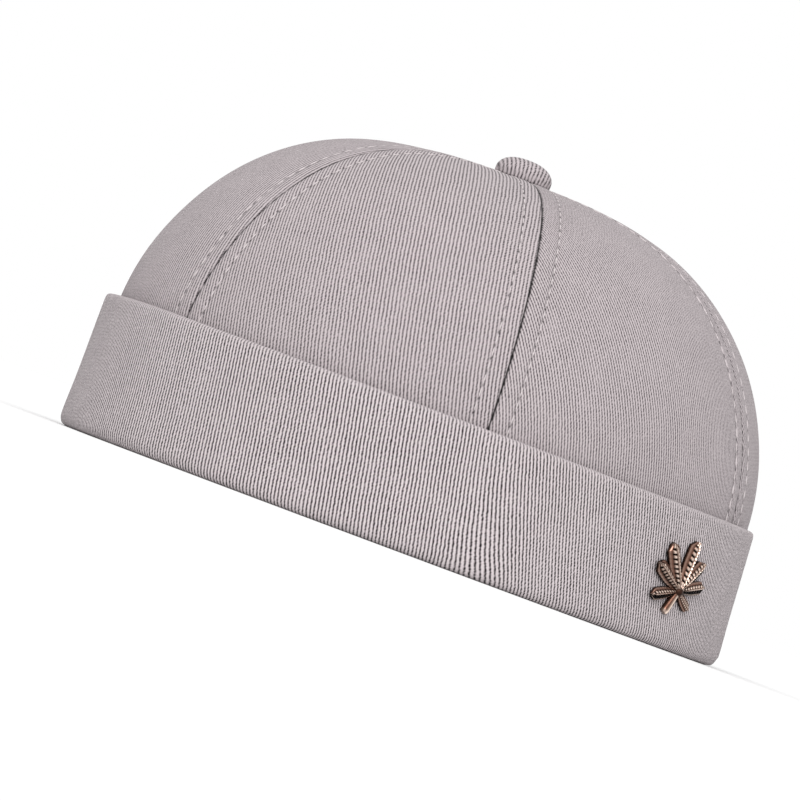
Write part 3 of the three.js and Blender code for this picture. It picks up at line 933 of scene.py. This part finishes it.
def makeCuff():
    look = cuffLook
    outline = smoothCurve(cuffOutline(), 3, closed=True)
    size = len(outline)
    lengths = runLengths(outline + outline[:1])
    steps = look["steps"]
    angles = [look["endAngle"] * (2 * column / steps - 1) for column in range(steps + 1)]
    runs = runLengths([rimPoint(angle, 0, 0) for angle in angles])
    corner = look["cornerRadius"]

    def place(column, row):
        inset, height = outline[row % size]
        run = min(runs[column], runs[-1] - runs[column])
        free = rise(height, 8, 39)
        spot = rimPoint(angles[column], 0, height)
        wave = clothSway(spot + Vector((0, 0, 300)), look["swaySize"], look["sway"])
        drop = clothSway(Vector((spot.x, spot.y, 900)), look["dropSize"], look["drop"])
        if run < corner and height < corner:
            height = max(height, corner - math.sqrt(corner ** 2 - (corner - run) ** 2))
        return rimPoint(angles[column], inset - wave * free, height + drop * free)

    def cloth(column, row):
        twist = look["grainTwist"] * (1 - rise(angles[column], *look["twistEnds"]))
        return runs[column] - runs[-1] / 2 - twist * (lengths[row] - look["twistAbout"]), lengths[row]

    bm = sweptPiece(steps, size, place, cloth)
    finishPiece("rolled_cuff", bm, rolledTwill, ["cuff"], sharp=60)


makeCuff()


# Sweatband and lining inside the crown

bandLook = {
    "low": 2.5,
    "high": 36,
    "depth": 2.0,
    "wall": 1.2,
    "columns": 200,
    "rows": 18,
    "retreat": 2.2,            # the band stops short of the opening's edge by this much
    "pocketDepth": 1.6,        # room for the sewn end of the strap, at the wearer's left
    "pocketEnds": (64, 73),
    "edgeRoll": 0.5,
    "sway": 0.25,
    "swaySize": 22,
}
bandRow = {"pitch": 3.2, "length": 2.4, "thickness": 0.42, "proud": 0.02, "belowTop": 3,
           "reach": 150 * degree}


def pocketLift(angle):
    if math.cos(angle) >= 0:
        return 0
    across = cap["rimHalfWidth"] * math.sin(angle)
    return bandLook["pocketDepth"] * (1 - rise(across, *bandLook["pocketEnds"])) * rise(across, 0, 9)


def clothRun(angle, climb):
    return angle * crownSpeed(angle / 2, climb), lengthAt(climb)


def makeSweatband():
    look = bandLook

    def spot(column, row):
        height = look["low"] + (look["high"] - look["low"]) * row / look["rows"]
        climb = climbAt(height)
        wide, high = archSize(look["retreat"])
        end = angleAtBack(wide * math.sqrt(1 - (height / high) ** 2), climb)
        return end * (2 * column / look["columns"] - 1), climb

    def outer(angle, climb):
        return look["depth"] + pocketLift(angle)

    def inner(angle, climb):
        height = domeHeight(climb)[0]
        edge = min(height - look["low"], look["high"] - height)
        rolled = look["edgeRoll"] * (1 - rise(edge, -0.4, 1.6))
        sway = clothSway(crownSurface(angle, climb), look["swaySize"], look["sway"])
        return outer(angle, climb) + look["wall"] - rolled + sway

    bm = clothSheet(look["columns"], look["rows"], spot, outer, inner, {"cloth": clothRun})
    finishPiece("sweatband_cloth", bm, blackCloth, ["sweatband"], sharp=60)


def makeBandStitches():
    bm = bmesh.new()
    climb = climbAt(bandLook["high"] - bandRow["belowTop"])
    speed = crownSpeed(0.8, climb)
    depth = bandLook["depth"] + bandLook["wall"] + bandRow["proud"]

    def spotAt(length):
        return length / speed - bandRow["reach"], climb

    stitchRow(bm, spotAt, 0, 2 * bandRow["reach"] * speed, depth, bandRow)
    finishPiece("band_stitches", bm, blackThread)


liningLook = {
    "depth": 2.0,
    "wall": 0.8,
    "columns": 120,
    "rows": 44,
    "foot": 36.3,
    "overArch": 1.6,
    "slack": 0.9,
    "slackSize": 26,
}
tapeLook = {"width": 13, "depth": 2.86, "wall": 0.45, "columns": 8, "rows": 60, "belowPole": 4}


def liningFoot(angle):
    # height where the lining starts: above the band, or above the back opening
    across = abs(cap["rimHalfWidth"] * 0.93 * math.sin(angle))
    wide, high = archSize(liningLook["overArch"])
    if math.cos(angle) > 0 or across >= wide:
        return liningLook["foot"]
    return max(liningLook["foot"], high * math.sqrt(1 - (across / wide) ** 2))


def makeLining():
    look = liningLook

    def spot(column, row):
        angle = 2 * math.pi * column / look["columns"]
        low = lengthAt(climbAt(liningFoot(angle)))
        return angle, climbAtLength(low + (poleLength - low) * row / look["rows"])

    def outer(angle, climb):
        free = rise(climb, 0.3, 0.5) * (1 - rise(climb, 0.85, 0.98))
        free *= rise(seamDistance(angle, climb), 4, 16)
        wave = noise.noise(crownSurface(angle, climb) / look["slackSize"] + Vector((7, 3, 1)))
        return look["depth"] + look["slack"] * free * (0.5 + 0.5 * wave)

    def inner(angle, climb):
        return outer(angle, climb) + look["wall"]

    bm = clothSheet(look["columns"], look["rows"], spot, outer, inner, {"cloth": clothRun})
    finishPiece("lining_cloth", bm, liningCloth, ["lining"], sharp=60)


def makeSeamTape(number):
    look = tapeLook
    seam = number * panelAngle
    low = lengthAt(climbAt(max(liningFoot(seam) + 0.4, liningLook["foot"] - 2)))
    high = poleLength - look["belowPole"]

    def spot(column, row):
        climb = climbAtLength(low + (high - low) * row / look["rows"])
        speed = crownSpeed(seam, climb)
        half = min(look["width"] / 2, speed * panelAngle / 2 * 0.97)
        return seam + half * (2 * column / look["columns"] - 1) / speed, climb

    def cloth(angle, climb):
        return (angle - seam) * crownSpeed(seam, climb), lengthAt(climb)

    def inner(angle, climb):
        across = cloth(angle, climb)[0] / (look["width"] / 2)
        return look["depth"] + look["wall"] * (1 - 0.5 * min(1, abs(across)) ** 4)

    bm = clothSheet(look["columns"], look["rows"], spot, lambda angle, climb: look["depth"], inner,
                    {"cloth": cloth})
    finishPiece("seam_tape_" + str(number + 1), bm, tapeCloth, sharp=60)


makeSweatband()
makeBandStitches()
makeLining()
for number in range(cap["panels"]):
    makeSeamTape(number)


# Strap, loop, buckle and rivet at the back opening

buckle = {                     # bars by their place across the back, as the frame has them
    "tabBar": -37.5,
    "centreBar": -32.2,
    "farBar": -26.7,
    "barWidth": 1.6,
    "depth": -1.65,
    "thickness": 1,
    "low": 3.5,
    "high": 24,
    "edgeRadius": 0.32,
    "nibRadius": 0.95,
}
strapLook = {
    "low": 5,
    "width": 17.5,
    "thickness": 1.1,
    "stepsPerSpan": 18,
    "steps": 330,
    "across": 12,
    "ripple": 0.28,            # in the free run across the opening
    "rippleSize": 4.6,
    "scallop": 0.07,           # woven edge
    "scallopPitch": 1.5,
}
loopLook = {"width": 11.5, "thickness": 0.9, "end": -58, "layerGap": 0.5, "gap": 0.3, "across": 8}
rivetLook = {"across": -51, "height": 15, "shank": 1.6, "inside": -4.2, "outside": 2.7, "steps": 48}

# middle line of the strap across the back and its depth in the crown's wall, from the sewn end
strapRoute = [
    (54, 2.55), (46, 2.55), (24, 2.5), (0, 2.4), (-16, 1.9), (-24, 0.7),
    (buckle["farBar"], 0.35), (buckle["centreBar"], 0.35),
    (buckle["centreBar"] - 0.8, 0.22), (buckle["centreBar"] - 1.4, -0.1),
    (buckle["centreBar"] - 1.75, -0.8), (buckle["centreBar"] - 2, -1.6),
    (buckle["centreBar"] - 2.4, -2.5), (buckle["centreBar"] - 3.2, -3.3),
    (buckle["tabBar"] + 0.6, -3.85), (buckle["tabBar"] - 1.6, -4),
    (rivetLook["across"], -4.3), (rivetLook["across"] - 6, -3.7), (rivetLook["across"] - 12, -1.9),
]


def angleAtStrap(across):
    # the angle goes by the oval at the middle of the strap, as in the frame
    return angleAtBack(across, climbAt(strapLook["low"] + strapLook["width"] / 2))


def backPoint(across, height, depth):
    return crownPoint(angleAtStrap(across), climbAt(height), depth)


def makeRibbon(name, replaced, route, low, look, edgeWave):
    # webbing along a route of places across the back and depths
    section = bandSection(look["width"], look["thickness"], look["across"])
    size = len(section)
    otherSide = 20             # keeps the weave of the two sides apart
    runs = runLengths(route)
    squares = []
    for i in range(len(route)):
        ahead = route[min(len(route) - 1, i + 1)] - route[max(0, i - 1)]
        squares.append(Vector((-ahead.y, ahead.x)).normalized())

    def place(column, row):
        high, square = section[row % size]
        high += edgeWave(runs[column], high)
        spot = route[column] + squares[column] * square
        return backPoint(spot.x, low + look["width"] / 2 + high, spot.y)

    def cloth(column, row):
        high, square = section[row % size]
        return runs[column], high + (otherSide if square < 0 else 0)

    bm = sweptPiece(len(route) - 1, size, place, cloth)
    finishPiece(name, bm, webbing, [replaced], sharp=70)


def makeStrap():
    look = strapLook
    route = smoothCurve(strapRoute, look["stepsPerSpan"])
    runs = runLengths(route)
    even = []
    for i in range(look["steps"] + 1):
        place = shareOfLength(runs, runs[-1] * i / look["steps"]) * (len(runs) - 1)
        index = min(int(place), len(runs) - 2)
        spot = route[index].lerp(route[index + 1], place - index)
        free = rise(spot.x, -20, -6) * (1 - rise(spot.x, 30, 44))
        spot.y += free * look["ripple"] * math.sin(spot.x / look["rippleSize"])
        even.append(spot)

    def scallop(run, high):
        edge = math.copysign(rise(abs(high), look["width"] / 2 - 1.2, look["width"] / 2), high)
        return edge * look["scallop"] * (math.cos(2 * math.pi * run / look["scallopPitch"]) - 1)

    makeRibbon("strap_webbing", "strap", even, look["low"], look, scallop)


def makeLoop():
    look = loopLook
    thick = look["thickness"]
    tab, rivet, end = buckle["tabBar"], rivetLook["across"], look["end"]
    middle = buckle["depth"] + buckle["thickness"] / 2
    reach = buckle["barWidth"] / 2 + look["layerGap"] + thick / 2
    lift = buckle["thickness"] / 2 + look["layerGap"] + thick / 2
    turns = [math.pi * (i / 16 - 0.5) for i in range(17)]
    fold = [Vector((tab + reach * math.cos(turn), middle - lift * math.sin(turn))) for turn in turns]
    inner = -look["gap"] - thick / 2
    outer = inner - thick - look["gap"]
    under = [(end, inner), (rivet, inner), (tab - 3.6, inner), (tab - 2.4, -0.4),
             (tab - 1.1, middle + lift - 0.05)]
    over = [(tab - 3.4, outer - 0.15), (rivet, outer), (end, outer)]
    route = smoothCurve(under, 6)[:-1] + fold + smoothCurve(over, 8)
    low = strapLook["low"] + (strapLook["width"] - look["width"]) / 2
    makeRibbon("loop_webbing", "buckle_loop", route, low, look, lambda run, high: 0)


def makeBuckle():
    # the frame's slide with its edges rounded, and a small nib on each outer bar
    bm = bmesh.new()
    bm.from_mesh(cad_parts["buckle"].data)
    bmesh.ops.scale(bm, vec=(1 / mm, 1 / mm, 1 / mm), verts=bm.verts)
    bmesh.ops.remove_doubles(bm, verts=bm.verts, dist=1e-3)
    bmesh.ops.dissolve_limit(bm, angle_limit=4 * degree, verts=bm.verts, edges=bm.edges)
    bm.normal_update()
    edges = [edge for edge in bm.edges
             if len(edge.link_faces) == 2 and edge.calc_face_angle() > 55 * degree]
    bmesh.ops.bevel(bm, geom=edges, offset=buckle["edgeRadius"], offset_type="OFFSET", segments=3,
                    profile=0.5, affect="EDGES", clamp_overlap=True, material=-1)
    middle = (buckle["low"] + buckle["high"]) / 2
    for bar in (buckle["tabBar"], buckle["farBar"]):
        for depth in (buckle["depth"], buckle["depth"] + buckle["thickness"]):
            bmesh.ops.create_uvsphere(bm, u_segments=20, v_segments=12, radius=buckle["nibRadius"],
                                      matrix=Matrix.Translation(backPoint(bar, middle, depth)))
    finishPiece("nickel_slide", bm, nickel, ["buckle"], sharp=35)


def makeRivet():
    # ringed head on one side of the cloth and a flat foot on the other
    inside, outside, shank = rivetLook["inside"], rivetLook["outside"], rivetLook["shank"]
    head = [(0, 1.3), (0.7, 1.26), (1.3, 1.12), (1.8, 0.88), (2.15, 0.62), (2.45, 0.5), (2.62, 0.62),
            (2.8, 1.0), (3.05, 1.3), (3.35, 1.42), (3.65, 1.25), (3.85, 0.9), (3.92, 0.4), (3.85, 0),
            (shank, 0)]
    foot = [(shank, 0), (3.3, 0), (3.42, 0.1), (3.35, 0.28), (2.9, 0.42), (shank, 0.6), (0, 0.66)]
    profile = [(radius, inside - proud) for radius, proud in head]
    profile += [(radius, outside + proud) for radius, proud in foot]
    bm = spunPiece(profile, rivetLook["steps"])
    spot = angleAtStrap(rivetLook["across"]), climbAt(rivetLook["height"])
    turn = Vector((0, 0, 1)).rotation_difference(crownNormal(*spot)).to_matrix().to_4x4()
    bmesh.ops.transform(bm, matrix=Matrix.Translation(crownPoint(*spot, 0)) @ turn, verts=bm.verts)
    finishPiece("ringed_rivet", bm, shadedNickel, ["rivet"], sharp=60)


makeStrap()
makeLoop()
makeBuckle()
makeRivet()


# Button on the crown, covered in coarser twill

buttonLook = {
    "radius": 8.3,
    "height": 6.3,
    "domeFoot": 1.7,
    "domeSteps": 13,
    "shank": 2.6,
    "washerRadius": 6.8,
    "washerTop": -3.8,
    "washer": 0.8,
    "steps": 64,
    "stretch": 0.25,           # of the cloth over the rim
}


def makeButton():
    look = buttonLook
    radius, top, shank = look["radius"], look["washerTop"], look["shank"]
    washer = look["washerRadius"]
    profile = [(0, top - look["washer"]), (washer - 0.6, top - look["washer"]), (washer, top - 0.55),
               (washer, top), (shank, top), (shank, 0.3), (radius - 0.4, 0.25), (radius - 0.1, 0.4),
               (radius, 0.9)]
    for i in range(look["domeSteps"]):
        turn = math.pi / 2 * i / look["domeSteps"]
        profile.append((radius * math.cos(turn) ** 0.8,
                        look["domeFoot"] + (look["height"] - look["domeFoot"]) * math.sin(turn)))
    profile.append((0, look["height"]))
    bm = spunPiece(profile, look["steps"])
    bm.loops.layers.uv.new("cloth")

    def cloth(across, up, height):
        spread = 1 + look["stretch"] * max(0, look["height"] - height) / look["height"]
        return across * spread, up * spread

    layCharts(bm, {"cloth": cloth}, {vert: vert.co.copy() for vert in bm.verts})
    pole = cap["rimCentreY"] - cap["forwardLean"] * cap["crownTop"] + cap["topShift"]
    bmesh.ops.translate(bm, vec=(0, pole, cap["crownTop"]), verts=bm.verts)
    finishPiece("cloth_button", bm, buttonTwill, ["button"], sharp=60)


makeButton()


# Leaf pin: seven ribbed leaflets and a stem on one hub

pinLook = {
    "angle": 103 * degree,
    "height": 16.6,
    "tilt": 5 * degree,
    "clearance": 0.3,
    "edge": 0.8,               # thickness at a leaflet's rim
    "ribs": 10,                # slanted ribs along each half of a leaflet
    "stemTurn": 20 * degree,
    "stemLength": 7.6,
    "hubSize": (1.5, 1.5, 1.35),
    "hubHeight": 1,
    "postRadius": 0.7,
    "postLength": 2.4,
    "postMiddle": -0.7,
    "leafletGrid": (24, 110),
    "stemGrid": (12, 16),
}
leaflets = [
    {"turn": 3, "length": 14.8, "halfWidth": 2.45, "ridge": 2.3},
    {"turn": -42, "length": 15, "halfWidth": 2.5, "ridge": 2.3},
    {"turn": 35, "length": 12.6, "halfWidth": 2.1, "ridge": 2},
    {"turn": -71, "length": 13.8, "halfWidth": 2.2, "ridge": 2},
    {"turn": 68, "length": 11.8, "halfWidth": 1.9, "ridge": 1.8},
    {"turn": -111, "length": 12, "halfWidth": 1.8, "ridge": 1.7},
    {"turn": 114, "length": 8.4, "halfWidth": 1.5, "ridge": 1.5},
]


def addRelief(bm, columns, rows, shape, turn, backDarkness):
    # shape raises a grid into one arm of the pin and says how dark it is, from patina and painted shade,
    # and how bright, from polish and painted highlight
    patinaAndShadeOf, polishAndHighlightOf = (bm.verts.layers.float[name] for name in ("patinaAndShade", "polishAndHighlight"))
    front = bmesh.ops.create_grid(bm, x_segments=columns, y_segments=rows, size=0.5)["verts"]
    faces = {face for vert in front for face in vert.link_faces}
    for vert in front:
        vert.co, vert[patinaAndShadeOf], vert[polishAndHighlightOf] = shape(vert.co.x * 2, vert.co.y + 0.5)
    back = thicken(bm, list(faces))
    for vert in back:
        vert.co.z = 0
        vert[patinaAndShadeOf] = backDarkness
    bmesh.ops.rotate(bm, cent=(0, 0, 0), matrix=Matrix.Rotation(-turn, 3, "Z"), verts=front + back)


def leafletWidth(share):
    body = 0.3 + 0.7 * rise(share, -0.1, 0.62)
    return body * (1 - 0.8 * rise(share, 0.84, 1.01) ** 1.4)


def leafletShape(leaflet):
    # two roof-like halves with slanted ribs, a beaded midrib and a groove on each side of it
    edge = pinLook["edge"]
    turn = leaflet["turn"] * degree
    # how far the +x half of this leaflet is turned away from the light, for the painted shade below
    facing = 0.8 * math.cos(turn) + 0.6 * math.sin(turn)

    def shape(side, share):
        out = abs(side)
        tooth = (share * pinLook["ribs"] + 0.9 - out * 0.7) % 1
        notch = rise(tooth, 0.4, 0.62) * (1 - rise(tooth, 0.86, 1.0)) * rise(share, 0.08, 0.2)
        notch *= rise(out, 0.1, 0.18) * (1 - 0.85 * rise(out, 0.44, 0.58)) * (1 - rise(share, 0.93, 1))
        groove = (bell(out - 0.56, 0.06) + 0.8 * bell(out - 0.13, 0.04)) * rise(share, 0.06, 0.16)
        bead = 0.5 + 0.5 * math.cos(2 * math.pi * share * pinLook["ribs"] * 1.5)
        width = leaflet["halfWidth"] * leafletWidth(share) * (1 - 0.13 * notch * rise(out, 0.6, 1))
        body = leaflet["ridge"] * (0.8 + 0.2 * rise(share, 0, 0.3)) * (1 - 0.22 * rise(share, 0.82, 1))
        height = edge + (body - edge) * (1 - out ** 1.25) + bell(out, 0.1) * (0.12 + 0.12 * bead)
        height -= 0.34 * notch * (1 - 0.4 * out) + 0.2 * groove
        # painted shade on the half of the leaflet turned away from the light
        paintedShadeSide = rise(math.copysign(1, side) * facing, 0.05, 0.8) * rise(out, 0.1, 0.2)
        rim = bell(out - 0.88, 0.07)
        # darker in the notches and grooves, at the outer edge and near the hub, and painted shade on the
        # half turned from the light
        patinaAndShade = (notch + 0.7 * groove + paintedShadeSide * (1 - 0.9 * rim) + 0.4 * rise(out, 0.94, 1)
                  + 0.6 * (1 - rise(share, 0, 0.16)))
        # brighter along the midrib, the rim and the rib tops; the rim is brighter on the half turned from
        # the light, and the rib tops are bright only on the half turned to the light, a painted highlight
        ribTop = 0.8 * bell(out - 0.33, 0.13) * (1 - notch) * (1 - paintedShadeSide)
        polishAndHighlight = bell(out, 0.07) * (0.5 + 0.5 * bead) + ribTop + rim * (0.15 + 0.6 * paintedShadeSide)
        place = Vector((side * width, share * leaflet["length"], max(0.4, height)))
        return place, min(1, patinaAndShade), min(1, polishAndHighlight)

    return shape


def stemShape(side, share):
    # rounded rod, thicker at its free end, with a shallow groove beside its middle
    radius = (1.0 + 0.4 * share) * (1 - 0.35 * rise(share, 0.86, 1) ** 2)
    top = 0.5 + 1.2 * math.sqrt(max(0, 1 - 0.95 * side ** 2)) * (1 - 0.3 * rise(share, 0.9, 1))
    groove = bell(side + 0.3, 0.12)
    patinaAndShade = 0.6 * rise(abs(side), 0.75, 1) + 0.7 * (1 - rise(share, 0.05, 0.3)) + 0.35 * groove
    polishAndHighlight = 0.9 * bell(side - 0.15, 0.3) + 0.4 * rise(share, 0.88, 0.97)
    return Vector((side * radius, -share * pinLook["stemLength"], top - 0.18 * groove)), patinaAndShade, polishAndHighlight


def cuffFace(angle, height):
    return rimPoint(angle, cuffLook["lean"] * height / cuffLook["height"] - pinLook["clearance"], height)


def makePin():
    bm = bmesh.new()
    patinaAndShadeOf = bm.verts.layers.float.new("patinaAndShade")
    bm.verts.layers.float.new("polishAndHighlight")
    look = pinLook
    for leaflet in leaflets:
        addRelief(bm, *look["leafletGrid"], leafletShape(leaflet), leaflet["turn"] * degree, 1)
    addRelief(bm, *look["stemGrid"], stemShape, look["stemTurn"], 0.7)
    hub = bmesh.ops.create_uvsphere(bm, u_segments=20, v_segments=12, radius=1)["verts"]
    hubShape = Matrix.Translation((0, 0, look["hubHeight"])) @ Matrix.Diagonal((*look["hubSize"], 1))
    bmesh.ops.transform(bm, matrix=hubShape, verts=hub)
    for vert in hub:
        vert[patinaAndShadeOf] = 0.75
    post = bmesh.ops.create_cone(bm, cap_ends=True, segments=16, radius1=look["postRadius"],
                                 radius2=look["postRadius"], depth=look["postLength"])
    bmesh.ops.translate(bm, vec=(0, 0, look["postMiddle"]), verts=post["verts"])

    angle, height = look["angle"], look["height"]
    side = (cuffFace(angle + 0.01, height) - cuffFace(angle - 0.01, height)).normalized()
    outward = side.cross(cuffFace(angle, height + 1) - cuffFace(angle, height - 1)).normalized()
    turn = Matrix((side, outward.cross(side), outward)).transposed().to_4x4()
    place = Matrix.Translation(cuffFace(angle, height)) @ turn @ Matrix.Rotation(-look["tilt"], 4, "Z")
    bmesh.ops.transform(bm, matrix=place, verts=bm.verts)
    finishPiece("leaf_casting", bm, roseCasting, ["leaf_pin"], sharp=45)


makePin()


# Floor, light and camera

floorLook = {"size": 60, "light": shade(223, 223, 223), "dark": shade(221, 221, 221)}


def makeFloor():
    bm = bmesh.new()
    bmesh.ops.create_grid(bm, x_segments=1, y_segments=1, size=floorLook["size"])
    material, flow, shader = newMaterial("pale_floor", {"Specular IOR Level": 0.0, "Roughness": 1.0})
    grain = noiseOf(flow, objectPlace(flow), 30.0)
    plug(flow, shader, colour=grain.mixed(floorLook["dark"], floorLook["light"]))
    floor = addMesh("floor", bm, material)


suns = {
    "key": {"energy": 2.5, "direction": (0.7, -0.62, 0.52), "angle": 40},
    "top": {"energy": 0.2, "direction": (-0.1, -0.1, 1), "angle": 70},
}


def makeSun(name, energy, direction, angle):
    light = bpy.data.lights.new(name, "SUN")
    light.energy = energy
    light.angle = angle * degree
    lamp = addObject(name, light)
    lamp.rotation_mode = "QUATERNION"
    lamp.rotation_quaternion = Vector(direction).to_track_quat("Z", "Y")


def makeWorld():
    world = bpy.data.worlds.new("white_studio")
    scene.world = world
    world.use_nodes = True
    back = world.node_tree.nodes["Background"]
    back.inputs["Color"].default_value = (1, 1, 1, 1)
    back.inputs["Strength"].default_value = 1.0


view = {
    "azimuth": 49 * degree,
    "elevation": -0.7 * degree,
    "roll": 20.5 * degree,     # the cap's upright leans to the right in the picture
    "distance": 2352,
    "lens": 375,
    "sensor": 36,
    "target": (0, 0, 50),
    "targetPixel": (440.8, 376.9),
    "picture": 800,
}


def makeCamera():
    azimuth, elevation, roll = view["azimuth"], view["elevation"], view["roll"]
    back = Vector((math.sin(azimuth) * math.cos(elevation), -math.cos(azimuth) * math.cos(elevation),
                   math.sin(elevation)))
    level = Vector((math.cos(azimuth), math.sin(azimuth), 0))
    upright = back.cross(level)
    right = level * math.cos(roll) + upright * math.sin(roll)
    up = upright * math.cos(roll) - level * math.sin(roll)
    scale = view["sensor"] / view["lens"] * view["distance"] / view["picture"]
    middle = view["picture"] / 2
    shiftRight = (view["targetPixel"][0] - middle) * scale
    shiftUp = (middle - view["targetPixel"][1]) * scale
    place = Vector(view["target"]) + back * view["distance"] - right * shiftRight - up * shiftUp
    camera = bpy.data.cameras.new("photo_camera")
    camera.lens = view["lens"]
    camera.sensor_width = view["sensor"]
    camera.clip_start = 0.05
    camera.clip_end = 200
    lens = addObject("photo_camera", camera)
    turn = Matrix((right, up, back)).transposed().to_4x4()
    lens.matrix_world = Matrix.Translation(place * mm) @ turn
    scene.camera = lens
    print("camera height", round(place.z, 1), "mm")


makeFloor()
makeWorld()
for name, sun in suns.items():
    makeSun(name, **sun)
makeCamera()
scene.view_settings.view_transform = "Standard"
scene.view_settings.look = "None"
